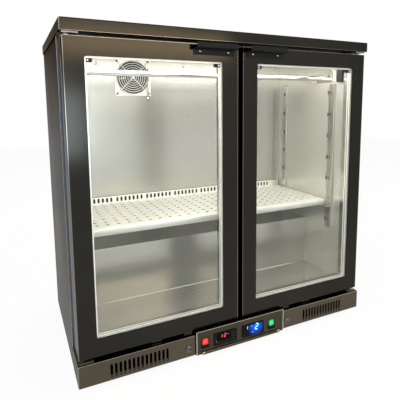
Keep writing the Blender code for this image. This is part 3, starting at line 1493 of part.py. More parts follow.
def build_coil_block(name, low, high, fins, fin_sheet, tubes, tube_radius, finish, extras=()):
    """A finned coil: upright fins threaded on rows of tube."""
    (x0, y0, z0), (x1, y1, z1) = low, high
    places = [x0 + (x1 - x0 - fin_sheet) * index / (fins - 1) for index in range(fins)]
    item = box(name, (places[0], y0, z0), (places[0] + fin_sheet, y1, z1))
    others = gather(f"{name}_fins", [
        box(f"{name}_fin_{index}", (x, y0, z0), (x + fin_sheet, y1, z1))
        for index, x in enumerate(places[1:])])
    rows = []
    for row in range(tubes):
        height = z0 + (z1 - z0) * (row + 1 / 2) / tubes
        rows.append(rod(
            f"{name}_tube_{row}", tube_radius, (x0 - tube_radius, (y0 + y1) / 2, height),
            (x1 + tube_radius, (y0 + y1) / 2, height), TUBE_SIDES))
    return keep(combine(item, [gather(f"{name}_tubes", rows), others, *extras]), finish)


def build_cold_coil():
    """The evaporator between the duct panel and the rear liner."""
    rear = CHAMBER_BACK - GAP
    top = CEILING - COIL_DROP
    return build_coil_block(
        "evaporator", (-COIL_WIDTH / 2, rear - COIL_DEPTH, top - COIL_HEIGHT),
        (COIL_WIDTH / 2, rear, top), COIL_FINS, COIL_FIN_SHEET, COIL_TUBES, COIL_TUBE_RADIUS,
        "aluminium")


# Machinery

def build_compressor():
    """The sealed compressor: a welded pot on a mounting foot, with two stubs."""
    y = BACK - COMPRESSOR_REAR_SETBACK
    low = PAN_TOP + GAP
    half = COMPRESSOR_HEIGHT / 2
    radius = COMPRESSOR_RADIUS
    dome = COMPRESSOR_DOME
    shoulder = radius - 2 * COMPRESSOR_WAIST
    pot = radius - COMPRESSOR_WAIST
    profile = [
        (0, COMPRESSOR_HEIGHT), (radius - dome, COMPRESSOR_HEIGHT - COMPRESSOR_SEAM_RISE),
        (shoulder, COMPRESSOR_HEIGHT - dome), (pot, half), (radius, half),
        (radius, half - COMPRESSOR_WAIST), (pot, half - COMPRESSOR_WAIST - COMPRESSOR_SEAM_RISE),
        (shoulder, dome), (radius - dome, COMPRESSOR_FOOT_SHEET), (0, COMPRESSOR_FOOT_SHEET)]
    item = turned("compressor", profile, (COMPRESSOR_X, y, low))
    reach = COMPRESSOR_FOOT_LENGTH / 2
    width = COMPRESSOR_FOOT_WIDTH / 2
    tools = []
    for index, offset in enumerate((-width * 2, width * 2)):
        tools.append(box(
            f"compressor_foot_{index}",
            (COMPRESSOR_X - reach, y + offset - width, low),
            (COMPRESSOR_X + reach, y + offset + width, low + 2 * COMPRESSOR_FOOT_SHEET)))
    stub_z = low + half + dome
    tools.append(rod(
        "compressor_stub", COMPRESSOR_STUB_RADIUS, (COMPRESSOR_X - radius / 2, y, stub_z),
        (COMPRESSOR_X - radius - COMPRESSOR_STUB_LENGTH, y, stub_z), SCREW_SIDES))
    return keep(combine(smooth(item), tools), "black_metal")


def condenser_centre():
    """Centre of the condenser's fan opening."""
    return CONDENSER_X, PAN_TOP + GAP + CONDENSER_HEIGHT / 2


def build_condenser():
    """The condenser coil with its fan shroud and the fixed motor."""
    x, z = condenser_centre()
    rear = BACK - CONDENSER_REAR_SETBACK
    half_w = CONDENSER_WIDTH / 2
    half_h = CONDENSER_HEIGHT / 2
    margin = CONDENSER_MARGIN
    shroud_front = rear - CONDENSER_SHROUD_SHEET
    shroud_rear = rear + CONDENSER_SHROUD_DEPTH
    ring = CONDENSER_FAN_RADIUS + 2 * FAN_TIP_CLEARANCE
    hole = ring - FAN_TIP_CLEARANCE
    shroud = plate(
        "condenser_shroud",
        [rectangle(x - half_w, z - half_h, x + half_w, z + half_h),
         circle(x, z, hole, RING_SIDES)],
        2 * CONDENSER_SHROUD_SHEET, "y", shroud_front + CONDENSER_SHROUD_SHEET)
    ring_front = shroud_front + CONDENSER_SHROUD_SHEET
    throat = plate(
        "condenser_throat", [circle(x, z, radius, RING_SIDES) for radius in (ring, hole)],
        shroud_rear - ring_front, "y", (shroud_rear + ring_front) / 2)
    arm = FAN_STRUT_WIDTH / 2
    arm_front = shroud_rear - FAN_STRUT_DEPTH
    reach = (ring + hole) / 2
    extras = [
        shroud, throat,
        box("condenser_arm", (x - reach, arm_front, z - arm), (x + reach, shroud_rear, z + arm)),
        rod("condenser_motor", CONDENSER_MOTOR_RADIUS, (x, arm_front, z),
            (x, arm_front + CONDENSER_MOTOR_DEPTH, z)),
        rod("condenser_spindle", FAN_SPINDLE_RADIUS,
            (x, arm_front - CONDENSER_FAN_HUB_DEPTH / 2, z), (x, arm_front + arm, z),
            PIN_SIDES)]
    return build_coil_block(
        "condenser", (x - half_w + margin, shroud_front - CONDENSER_DEPTH, z - half_h + margin),
        (x + half_w - margin, shroud_front + CONDENSER_SHROUD_SHEET / 2, z + half_h - margin),
        CONDENSER_FINS,
        CONDENSER_FIN_SHEET, CONDENSER_TUBES, COIL_TUBE_RADIUS, "black_metal", extras)


def build_condenser_fan():
    """The condenser's fan rotor on its motor spindle."""
    x, z = condenser_centre()
    shroud_rear = BACK - CONDENSER_REAR_SETBACK + CONDENSER_SHROUD_DEPTH
    front = shroud_rear - FAN_STRUT_DEPTH - GAP - CONDENSER_FAN_HUB_DEPTH
    return build_rotor(
        "condenser_fan", (x, front, z), CONDENSER_FAN_HUB_RADIUS, CONDENSER_FAN_HUB_DEPTH,
        CONDENSER_FAN_RADIUS, CONDENSER_FAN_BLADES, CONDENSER_FAN_CHORD, "black_plastic")


def build_fan_rotor():
    """The circulation fan's rotor inside the duct ring."""
    rear = fan_strut_front() - SEAM - GAP
    tip = FAN_DUCT_RADIUS - FAN_DUCT_WALL - FAN_TIP_CLEARANCE
    return build_rotor(
        "fan_rotor", (FAN_X, rear - FAN_HUB_DEPTH, FAN_Z), FAN_HUB_RADIUS, FAN_HUB_DEPTH, tip,
        FAN_BLADES, FAN_BLADE_CHORD, "black_plastic")


def build_cabinet():
    """Builds every piece of the cabinet."""
    build_worktop()
    build_top_rail()
    build_rear_panel()
    build_base_pan()
    build_feet()
    build_insulation()
    build_top_liner()
    build_floor_liner()
    build_duct_panel()
    build_front_frame()
    build_centre_post()
    build_kick_panel()
    build_control_housing()
    build_rocker("rocker_red", "red_lens")
    build_rocker("rocker_green", "green_lens")
    build_controller("controller_temperature", "black_plastic")
    build_controller("controller_humidity", "black_plastic")
    for side in SIDES:
        build_side_panel(side)
        build_side_liner(side)
        build_lock(side)
        build_door(side)
        build_hinge(side, "top")
        build_hinge(side, "bottom")
        build_rail_bracket(side)
    for place in post_places():
        build_post(place)
    build_shelf()
    build_rail()
    build_hook("left", LEFT_HOOK_X)
    build_hook("right", RIGHT_HOOK_X)
    build_light_bar()
    build_fan_housing()
    build_fan_rotor()
    build_fan_grille()
    build_cold_coil()
    build_compressor()
    build_condenser()
    build_condenser_fan()


clear_scene()
CABINET = new_collection("dry_aging_cabinet")
CUTTERS = new_collection("cutters")
FINISHES = {
    "dark_steel": make_material("dark_steel", (0.045, 0.040, 0.034), 0.22, 0.85),
    "bronze_steel": make_material("bronze_steel", (0.060, 0.050, 0.036), 0.28, 0.85),
    "black_metal": make_material("black_metal", (0.015, 0.015, 0.016), 0.35, 0.40),
    "brushed_steel": make_material("brushed_steel", (0.58, 0.56, 0.51), 0.30, 1.0),
    "bright_steel": make_material("bright_steel", (0.70, 0.69, 0.66), 0.16, 1.0),
    "galvanised_steel": make_material("galvanised_steel", (0.42, 0.44, 0.45), 0.45, 1.0),
    "chrome": make_material("chrome", (0.80, 0.80, 0.80), 0.08, 1.0),
    "aluminium": make_material("aluminium", (0.72, 0.72, 0.70), 0.35, 1.0),
    "glass": make_material("glass", (0.80, 0.86, 0.84), 0.02, 0.0, 0.25),
    "rubber": make_material("rubber", (0.02, 0.02, 0.02), 0.75, 0.0),
    "black_plastic": make_material("black_plastic", (0.018, 0.018, 0.020), 0.45, 0.0),
    "foam": make_material("foam", (0.80, 0.68, 0.42), 0.90, 0.0),
    "red_lens": make_material("red_lens", (0.80, 0.06, 0.04), 0.20, 0.0),
    "green_lens": make_material("green_lens", (0.05, 0.58, 0.19), 0.20, 0.0),
}
build_cabinet()
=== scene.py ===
"""Looks of an under-counter dry aging cabinet with two glass doors.

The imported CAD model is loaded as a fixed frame. Every node gets its real finish, fine parts such as
the pierced shelf, hooks, fan, screws and display digits are modelled here, and a plain studio with
the photograph's camera is set round them.
"""

import logging
import math
from dataclasses import dataclass, field, replace
from enum import Enum

import bmesh
import bpy
import numpy as np
from mathutils import Matrix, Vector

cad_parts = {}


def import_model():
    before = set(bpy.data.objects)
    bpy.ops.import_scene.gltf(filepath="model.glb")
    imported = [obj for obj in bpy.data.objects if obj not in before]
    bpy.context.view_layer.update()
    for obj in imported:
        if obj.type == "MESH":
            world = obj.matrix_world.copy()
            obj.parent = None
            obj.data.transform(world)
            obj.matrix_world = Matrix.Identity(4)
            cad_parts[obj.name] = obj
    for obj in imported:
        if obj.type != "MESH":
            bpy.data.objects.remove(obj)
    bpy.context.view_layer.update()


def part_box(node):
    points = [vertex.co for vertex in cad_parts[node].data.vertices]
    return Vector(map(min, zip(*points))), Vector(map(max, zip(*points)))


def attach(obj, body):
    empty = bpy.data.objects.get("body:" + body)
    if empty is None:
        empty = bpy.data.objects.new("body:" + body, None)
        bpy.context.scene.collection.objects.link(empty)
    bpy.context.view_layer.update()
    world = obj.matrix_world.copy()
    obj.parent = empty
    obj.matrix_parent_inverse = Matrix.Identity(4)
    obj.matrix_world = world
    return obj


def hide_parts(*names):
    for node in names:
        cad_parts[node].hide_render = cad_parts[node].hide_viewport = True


LOG = logging.getLogger("cabinet")
MILLIMETRE = 0.001
WELD = 1e-6
ENDS = ("front", "rear")

# Quads along one side of a block in a pierced sheet, and points round the opening in it
BLOCK_QUADS = 4
OPENING_POINTS = 4 * BLOCK_QUADS

# The range that holds nearly all values of a cloud pattern
CLOUD_RANGE = (0.3, 0.7)

Point = tuple[float, float, float]
Pair = tuple[float, float]
Sizes = tuple[float, ...]
Tree = bpy.types.NodeTree
Socket = bpy.types.NodeSocket


# Directions and options

class Facing(Enum):
    """Which way a small part faces: its own across, up and outward directions."""

    FRONT = ((1, 0, 0), (0, 0, 1), (0, -1, 0))
    REAR = ((-1, 0, 0), (0, 0, 1), (0, 1, 0))
    LEFT = ((0, -1, 0), (0, 0, 1), (-1, 0, 0))
    RIGHT = ((0, 1, 0), (0, 0, 1), (1, 0, 0))
    UP = ((1, 0, 0), (0, 1, 0), (0, 0, 1))
    DOWN = ((1, 0, 0), (0, -1, 0), (0, 0, -1))

    def axes(self) -> np.ndarray:
        """The three directions as the rows of a matrix."""
        return np.array(self.value, dtype=float)


class Grain(Enum):
    """The direction in which a metal sheet was brushed."""

    ALONG_X = (1, 0, 0)
    ALONG_Z = (0, 0, 1)

    def sizes(self, run: float, line: float) -> Point:
        """The length or the width of one brush line on each axis."""
        return tuple(run if part else line for part in self.value)


class Side(Enum):
    """The left or the right half of the cabinet."""

    LEFT = -1
    RIGHT = 1

    def of(self, name: str) -> str:
        """The name of this side's piece."""
        return f"{name}_{self.name.lower()}"


# Surfaces

@dataclass
class Surface:
    """A mesh in the making.

    Attributes:
        points: one row of x, y, z for each point, in metres.
        faces: arrays of point numbers, one row for each face.
    """

    points: np.ndarray
    faces: list[np.ndarray]

    def placed(self, at: Point, facing: Facing = Facing.FRONT) -> "Surface":
        """Turns across, up and outward to the facing's directions, then moves to a point."""
        return Surface(self.points @ facing.axes() + np.array(at), self.faces)

    def mirrored(self) -> "Surface":
        """The mirror image across the cabinet's middle plane, with its faces turned back outward."""
        return Surface(self.points * np.array((-1.0, 1.0, 1.0)), [face[:, ::-1] for face in self.faces])


def joined(parts: list[Surface]) -> Surface:
    """Puts several surfaces into one.

    Args:
        parts: the surfaces.

    Returns:
        One surface with all their points and faces.
    """
    starts = np.cumsum([0] + [len(part.points) for part in parts[:-1]])
    faces = [face + start for part, start in zip(parts, starts) for face in part.faces]
    return Surface(np.vstack([part.points for part in parts]), faces)


def grid(points: np.ndarray, wrap_rows: bool = False, wrap_columns: bool = False) -> Surface:
    """Quads between the points of a two-parameter grid: each joins a point to its three next ones.

    Args:
        points: an array of rows by columns by 3.
        wrap_rows: whether the last row joins the first.
        wrap_columns: whether the last column joins the first.

    Returns:
        The surface, its normals along the row direction crossed with the column direction.
    """
    rows, columns = points.shape[:2]
    index = np.arange(rows * columns).reshape(rows, columns)
    if wrap_rows:
        index = np.vstack([index, index[:1]])
    if wrap_columns:
        index = np.hstack([index, index[:, :1]])
    corners = [index[:-1, :-1], index[1:, :-1], index[1:, 1:], index[:-1, 1:]]
    return Surface(points.reshape(-1, 3), [np.stack(corners, axis=-1).reshape(-1, 4)])


def turned(profile: list[Pair], steps: int) -> Surface:
    """A turned solid: each profile point (r, h) goes round as (r cos a, r sin a, h).

    Args:
        profile: radius and height pairs, from the bottom pole round to the top pole.
        steps: points round the axis.

    Returns:
        The closed surface, facing outward, with its axis on the outward direction.
    """
    radius, height = np.array(profile, dtype=float).T
    angle = np.arange(steps) * (2 * math.pi / steps)
    points = np.stack([
        np.cos(angle)[:, None] * radius[None, :],
        np.sin(angle)[:, None] * radius[None, :],
        np.broadcast_to(height, (steps, len(height)))], axis=-1)
    return grid(points, wrap_rows=True)


def tube(path: np.ndarray, radius: np.ndarray, across: Point, sides: int, closed: bool = False) -> Surface:
    """A round wire along a flat path: a circle of the local radius in the plane across the path.

    The circle's two directions are the path plane's normal and its cross product with the tangent.

    Args:
        path: the wire's middle line, one row for each station.
        radius: the wire's radius at each station; 0 at an end closes it.
        across: the normal of the plane that the path lies in.
        sides: points round the wire.
        closed: whether the path is a ring.

    Returns:
        The wire's skin, facing outward.
    """
    if closed:
        tangent = np.roll(path, -1, axis=0) - np.roll(path, 1, axis=0)
    else:
        tangent = np.gradient(path, axis=0)
    tangent /= np.linalg.norm(tangent, axis=1, keepdims=True)
    side = np.cross(across, tangent)
    angle = np.arange(sides) * (2 * math.pi / sides)
    ring = (
        np.cos(angle)[None, :, None] * side[:, None, :]
        + np.sin(angle)[None, :, None] * np.array(across)[None, None, :])
    points = path[:, None, :] + radius[:, None, None] * ring
    return grid(points, wrap_rows=closed, wrap_columns=True)


def outline(width: float, height: float, radius: float, per_corner: int = 5) -> np.ndarray:
    """A rectangle with round corners: four quarter circles about the corner centres.

    Args:
        width: full width.
        height: full height.
        radius: corner radius.
        per_corner: points on each quarter circle.

    Returns:
        The points, counter-clockwise, one row of across and up each.
    """
    radius = max(radius, WELD)
    quarter = np.linspace(0, math.pi / 2, per_corner)
    angle = (quarter[None, :] + np.arange(4)[:, None] * (math.pi / 2)).ravel()
    signs = np.array([(1, 1), (-1, 1), (-1, -1), (1, -1)]).repeat(per_corner, axis=0)
    centre = signs * np.array((width / 2 - radius, height / 2 - radius))
    return centre + radius * np.stack([np.cos(angle), np.sin(angle)], axis=-1)


def drawn_in(width: float, height: float, corner: float, draws: np.ndarray, rises: np.ndarray) -> np.ndarray:
    """Round-cornered outlines, one above the other, each drawn in by its own amount.

    Args:
        width: full width of an outline that isn't drawn in.
        height: its full height.
        corner: its corner radius, which shrinks as an outline draws in, to a quarter at least.
        draws: how far each outline is drawn in.
        rises: how high each outline stands.

    Returns:
        An array of outlines by points by 3.
    """
    rings = []
    for draw, rise in zip(draws, rises):
        flat = outline(width - 2 * draw, height - 2 * draw, max(corner - draw, corner / 4))
        rings.append(np.column_stack([flat, np.full(len(flat), rise)]))
    return np.array(rings)


def stacked(rings: np.ndarray) -> Surface:
    """A closed skin over a stack of outlines: quads between neighbours and a flat face at each end.

    Args:
        rings: an array of levels by points by 3, each level counter-clockwise seen from the last.

    Returns:
        The closed surface, facing outward.
    """
    side = grid(rings[::-1], wrap_columns=True)
    levels, count = rings.shape[:2]
    last = np.arange(count)[None, :]
    first = (levels - 1) * count + np.arange(count)[None, ::-1]
    return Surface(side.points, side.faces + [last, first])


def pad(width: float, height: float, corner: float, thickness: float, edge: float) -> Surface:
    """A moulded pad with a rounded rim: outlines that draw in by edge (1 - cos a) as they rise.

    Args:
        width: full width.
        height: full height.
        corner: corner radius of the outline.
        thickness: how far it stands out from its base plane.
        edge: radius of the rounded rim.

    Returns:
        The closed pad, its base on the plane through the origin.
    """
    steps = np.linspace(0, math.pi / 2, 4)
    draws = np.concatenate([[0.0], edge * (1 - np.cos(steps))])
    rises = np.concatenate([[0.0], thickness - edge + edge * np.sin(steps)])
    return stacked(drawn_in(width, height, corner, draws, rises))


def pads(shape: Sizes, places: list[Point], facing: Facing = Facing.FRONT) -> Surface:
    """Equal pads at several places.

    Args:
        shape: width, height, corner radius, thickness and rim radius of one pad.
        places: the middle of each pad's base.
        facing: the way that the pads face.

    Returns:
        The pads as one surface.
    """
    return joined([pad(*shape).placed(place, facing) for place in places])


def frame_rim(width: float, height: float, corner: float, band: float, thickness: float) -> Surface:
    """A raised rim round a panel: a half-round band section carried round the outline.

    Args:
        width: full width outside.
        height: full height outside.
        corner: outer corner radius.
        band: width of the rim.
        thickness: how far it stands out.

    Returns:
        The closed ring.
    """
    turn = np.linspace(0, math.pi, 7)
    draws = np.concatenate([[0.0], band / 2 * (1 - np.cos(turn)), [band]])
    rises = np.concatenate([[0.0], thickness / 2 * (1 + np.sin(turn)), [0.0]])
    rings = drawn_in(width, height, corner, draws, rises)
    return grid(rings[::-1], wrap_rows=True, wrap_columns=True)


def screw_head(radius: float, height: float) -> Surface:
    """A pan head with a cross recess: height (1 - 3/4 (r/R)^4) less a cross-shaped drop at the axis.

    Args:
        radius: the head's radius.
        height: the head's height.

    Returns:
        The head's skin down to its base plane, open below.
    """
    steps, recess_share, arm_share, drop_share = 32, 0.6, 0.16, 0.55
    share = np.concatenate([np.linspace(0, 0.62, 8), [0.8, 0.93, 1.0, 1.0]])
    angle = np.arange(steps) * (2 * math.pi / steps)
    across = np.cos(angle)[:, None] * share[None, :] * radius
    up = np.sin(angle)[:, None] * share[None, :] * radius
    level = height * (1 - 0.75 * share ** 4)[None, :] * np.ones((steps, 1))
    arm = np.minimum(abs(across), abs(up)) < radius * arm_share
    recess = np.hypot(across, up) < radius * recess_share
    level = np.where(arm & recess, level - height * drop_share, level)
    level[:, -1] = 0
    return grid(np.stack([across, up, level], axis=-1)[:, ::-1], wrap_rows=True)


def screws(size: Pair, places: list[Point], facing: Facing = Facing.FRONT) -> Surface:
    """Equal screw heads at several places.

    Args:
        size: radius and height of a head.
        places: the middle of each head's base.
        facing: the way that the heads face.

    Returns:
        The heads as one surface.
    """
    return joined([screw_head(*size).placed(place, facing) for place in places])


def block_lines(centres: np.ndarray, half: float) -> np.ndarray:
    """The grid lines of each centre's block: its two edges and the lines between."""
    return (centres[:, None] + half * np.linspace(-1, 1, BLOCK_QUADS + 1)[None, :]).ravel()


def opening_circle() -> np.ndarray:
    """An opening's points on the unit circle, from the direction of a block's first corner."""
    angle = math.radians(-135) + np.arange(OPENING_POINTS) * (2 * math.pi / OPENING_POINTS)
    return np.stack([np.cos(angle), np.sin(angle)], axis=-1)


def pierced(
        us: np.ndarray, vs: np.ndarray, cells: np.ndarray, openings: np.ndarray, gone: np.ndarray) -> Surface:
    """A flat sheet with openings: a grid of lines, where square blocks of quads become rings.

    Each ring joins the grid points round its block to as many points of its opening.

    Args:
        us: the grid's lines across.
        vs: the grid's lines along.
        cells: first line across and first line along of each block, one row each.
        openings: an array of blocks by opening points by 2.
        gone: an array of quads across by quads along that is true where there is no sheet.

    Returns:
        The sheet as (u, v, 0) points, facing along +w.
    """
    across, along = np.meshgrid(us, vs, indexing="ij")
    flat = np.stack([across, along], axis=-1).reshape(-1, 2)
    index = np.arange(len(us) * len(vs)).reshape(len(us), len(vs))
    keep = ~gone
    block = np.arange(BLOCK_QUADS)
    keep[
        cells[:, 0, None, None] + block[None, :, None],
        cells[:, 1, None, None] + block[None, None, :]] = False
    quads = np.stack([index[:-1, :-1], index[1:, :-1], index[1:, 1:], index[:-1, 1:]], axis=-1)[keep]
    end = BLOCK_QUADS
    walk = np.array(
        [(i, 0) for i in range(end)] + [(end, i) for i in range(end)]
        + [(end - i, end) for i in range(end)] + [(0, end - i) for i in range(end)])
    outer = index[cells[:, 0, None] + walk[None, :, 0], cells[:, 1, None] + walk[None, :, 1]]
    inner = len(flat) + np.arange(len(cells) * OPENING_POINTS).reshape(-1, OPENING_POINTS)
    ring = np.stack([
        outer, np.roll(outer, -1, axis=1), np.roll(inner, -1, axis=1), inner], axis=-1).reshape(-1, 4)
    points = np.vstack([flat, openings.reshape(-1, 2)])
    return Surface(np.column_stack([points, np.zeros(len(points))]), [quads, ring])


# Materials

def linear(colour: str) -> tuple[float, float, float, float]:
    """Turns an sRGB hex colour such as #8a7f70 to linear values.

    Args:
        colour: the hex colour.

    Returns:
        Linear red, green and blue, and an alpha of 1.
    """
    parts = np.array([int(colour[start:start + 2], 16) for start in (1, 3, 5)]) / 255
    values = np.where(parts <= 0.04045, parts / 12.92, ((parts + 0.055) / 1.055) ** 2.4)
    return (*values.tolist(), 1.0)


def add_node(
        tree: Tree, kind: str, inputs: dict | None = None, links: dict | None = None,
        **settings: object) -> bpy.types.Node:
    """Adds a shader node.

    Args:
        tree: the node tree.
        kind: the node's type name.
        inputs: constant values by socket.
        links: source sockets by socket.
        **settings: attributes of the node itself.

    Returns:
        The node.
    """
    node = tree.nodes.new(kind)
    for attribute, value in settings.items():
        setattr(node, attribute, value)
    for socket, value in (inputs or {}).items():
        node.inputs[socket].default_value = value
    for socket, source in (links or {}).items():
        tree.links.new(source, node.inputs[socket])
    return node


def clouds(tree: Tree, size: float | Point, detail: float = 3.0, bend: float = 0.0) -> Socket:
    """A random pattern that keeps its place on the piece, for brush lines, dust, wear or texture.

    Args:
        tree: the node tree.
        size: width of one cloud in millimetres, one number or one for each axis.
        detail: octaves of finer clouds on it.
        bend: how far the clouds' outlines are bent.

    Returns:
        The pattern: noise over the piece's own coordinates divided by the size.
    """
    where = add_node(tree, "ShaderNodeTexCoord").outputs["Object"]
    scale = tuple((1 / (np.ones(3) * size * MILLIMETRE)).tolist())
    mapped = add_node(tree, "ShaderNodeMapping", inputs={"Scale": scale}, links={"Vector": where})
    return add_node(
        tree, "ShaderNodeTexNoise", inputs={"Scale": 1.0, "Detail": detail, "Distortion": bend},
        links={"Vector": mapped.outputs["Vector"]}).outputs["Fac"]


def toned(tree: Tree, value: Socket, band: Pair, first: str, last: str) -> Socket:
    """A colour that goes from one tone to another: first + (last - first) s, s from 0 to 1.

    Args:
        tree: the node tree.
        value: what drives it.
        band: the values at which s is 0 and 1.
        first: the tone where s is 0.
        last: the tone where s is 1.

    Returns:
        The colour.
    """
    share = add_node(
        tree, "ShaderNodeMapRange", inputs={"From Min": band[0], "From Max": band[1]},
        links={"Value": value})
    return add_node(
        tree, "ShaderNodeMix", data_type="RGBA", inputs={6: linear(first), 7: linear(last)},
        links={0: share.outputs["Result"]}).outputs[2]


def skin(
        tree: Tree, colour: Socket, inputs: dict, rough: tuple[Socket, float, float] | None = None,
        relief: tuple[Socket, float, float] | None = None) -> Socket:
    """A surface whose roughness and fine relief follow patterns.

    Args:
        tree: the node tree.
        colour: its colour, and its light's where the constants name an emission strength.
        inputs: its constant values by socket.
        rough: a pattern, and the roughness where it is low and where it is high.
        relief: a pattern, how strongly it shows, and its height in millimetres.

    Returns:
        The surface's shader.
    """
    links = {"Base Color": colour}
    if "Emission Strength" in inputs:
        links["Emission Color"] = colour
    if rough:
        pattern, low, high = rough
        links["Roughness"] = add_node(
            tree, "ShaderNodeMapRange", links={"Value": pattern},
            inputs={
                "From Min": CLOUD_RANGE[0], "From Max": CLOUD_RANGE[1], "To Min": low,
                "To Max": high}).outputs["Result"]
    if relief:
        pattern, strength, height = relief
        links["Normal"] = add_node(
            tree, "ShaderNodeBump", inputs={"Strength": strength, "Distance": height * MILLIMETRE},
            links={"Height": pattern}).outputs["Normal"]
    return add_node(tree, "ShaderNodeBsdfPrincipled", inputs, links).outputs["BSDF"]


def region(tree: Tree, middle: Point, reach: Point, weights: Point, least: float) -> Socket:
    """A mask over a piece, from its distance to a middle on each axis.

    It is 1 where the signs of |p - middle| - reach, each times its axis's weight, add up to more than
    the least sum: each sign is 1 past the reach and -1 within it.

    Args:
        tree: the node tree.
        middle: the point that the distances are taken from.
        reach: the distance on each axis at which the sign turns.
        weights: the weight of each axis.
        least: the least sum.

    Returns:
        The mask.
    """
    value = add_node(tree, "ShaderNodeTexCoord").outputs["Object"]
    unused = (0.0, 0.0, 0.0)
    for operation, other in (
            ("SUBTRACT", middle), ("ABSOLUTE", unused), ("SUBTRACT", reach), ("SIGN", unused)):
        value = add_node(
            tree, "ShaderNodeVectorMath", operation=operation, inputs={1: other},
            links={0: value}).outputs["Vector"]
    total = add_node(
        tree, "ShaderNodeVectorMath", operation="DOT_PRODUCT", inputs={1: weights}, links={0: value})
    return add_node(
        tree, "ShaderNodeMath", operation="GREATER_THAN", inputs={1: least},
        links={0: total.outputs["Value"]}).outputs[0]


def seen_white(tree: Tree) -> Socket:
    """The rays that show the surrounding: the largest of Light Path's eye, glass and gloss flags.

    Args:
        tree: the node tree.

    Returns:
        A socket that is 1 for such rays.
    """
    path = add_node(tree, "ShaderNodeLightPath")
    seen = path.outputs["Is Camera Ray"]
    for kind in ("Is Transmission Ray", "Is Glossy Ray"):
        seen = add_node(
            tree, "ShaderNodeMath", operation="MAXIMUM", links={0: seen, 1: path.outputs[kind]}).outputs[0]
    return seen


@dataclass(frozen=True)
class Finish:
    """A surface finish, which becomes one material.

    Attributes:
        name: the material's name.
    """

    name: str

    def surface(self, tree: Tree) -> Socket:
        """The finish's shader, which each kind of finish builds in its own way."""
        raise NotImplementedError(self.name)

    def material(self) -> bpy.types.Material:
        """Builds the material round the finish's shader.

        Returns:
            The material.
        """
        material = bpy.data.materials.new(self.name)
        material.use_nodes = True
        tree = material.node_tree
        tree.nodes.clear()
        add_node(tree, "ShaderNodeOutputMaterial", links={"Surface": self.surface(tree)})
        return material


@dataclass(frozen=True)
class BrushedSteel(Finish):
    """Stainless steel 1.4301, brushed with a belt: fine straight lines that stretch highlights.

    Attributes:
        colour: the steel's colour.
        line: the darker colour at the bottom of the brush lines.
        rough_low: roughness of the crests.
        rough_high: roughness of the lines.
        grain: the brushing direction.
        line_mm: drawn width of one line; real lines are 0.1 mm, too fine for the render.
        run_mm: length of one line.
        smudge_mm: width of the smudges that hands and cloths leave.
        smudge_share: their share in the roughness.
        depth: strength of the lines' relief.
        metallic: 1 for bare steel, less where a fine oxide or dirt film scatters the light.
        edge_tint: how the surface tints what it mirrors at a glancing angle.
    """

    colour: str = "#c9c6bf"
    line: str = "#a9a59c"
    rough_low: float = 0.22
    rough_high: float = 0.34
    grain: Grain = Grain.ALONG_X
    line_mm: float = 0.9
    run_mm: float = 260.0
    smudge_mm: float = 200.0
    smudge_share: float = 0.3
    depth: float = 0.008
    metallic: float = 1.0
    edge_tint: str = "#ffffff"

    def surface(self, tree: Tree) -> Socket:
        """Lines set the colour and the relief, and smudges share in the roughness.

        Args:
            tree: the node tree.

        Returns:
            The shader.
        """
        lines = clouds(tree, self.grain.sizes(self.run_mm, self.line_mm), detail=4.0)
        smudges = clouds(tree, self.smudge_mm, detail=2.0)
        mixed = add_node(
            tree, "ShaderNodeMix", data_type="FLOAT", inputs={0: self.smudge_share},
            links={2: lines, 3: smudges})
        return skin(
            tree, toned(tree, lines, CLOUD_RANGE, self.line, self.colour),
            {"Metallic": self.metallic, "Specular Tint": linear(self.edge_tint)},
            (mixed.outputs[0], self.rough_low, self.rough_high), (lines, self.depth, 1.0))


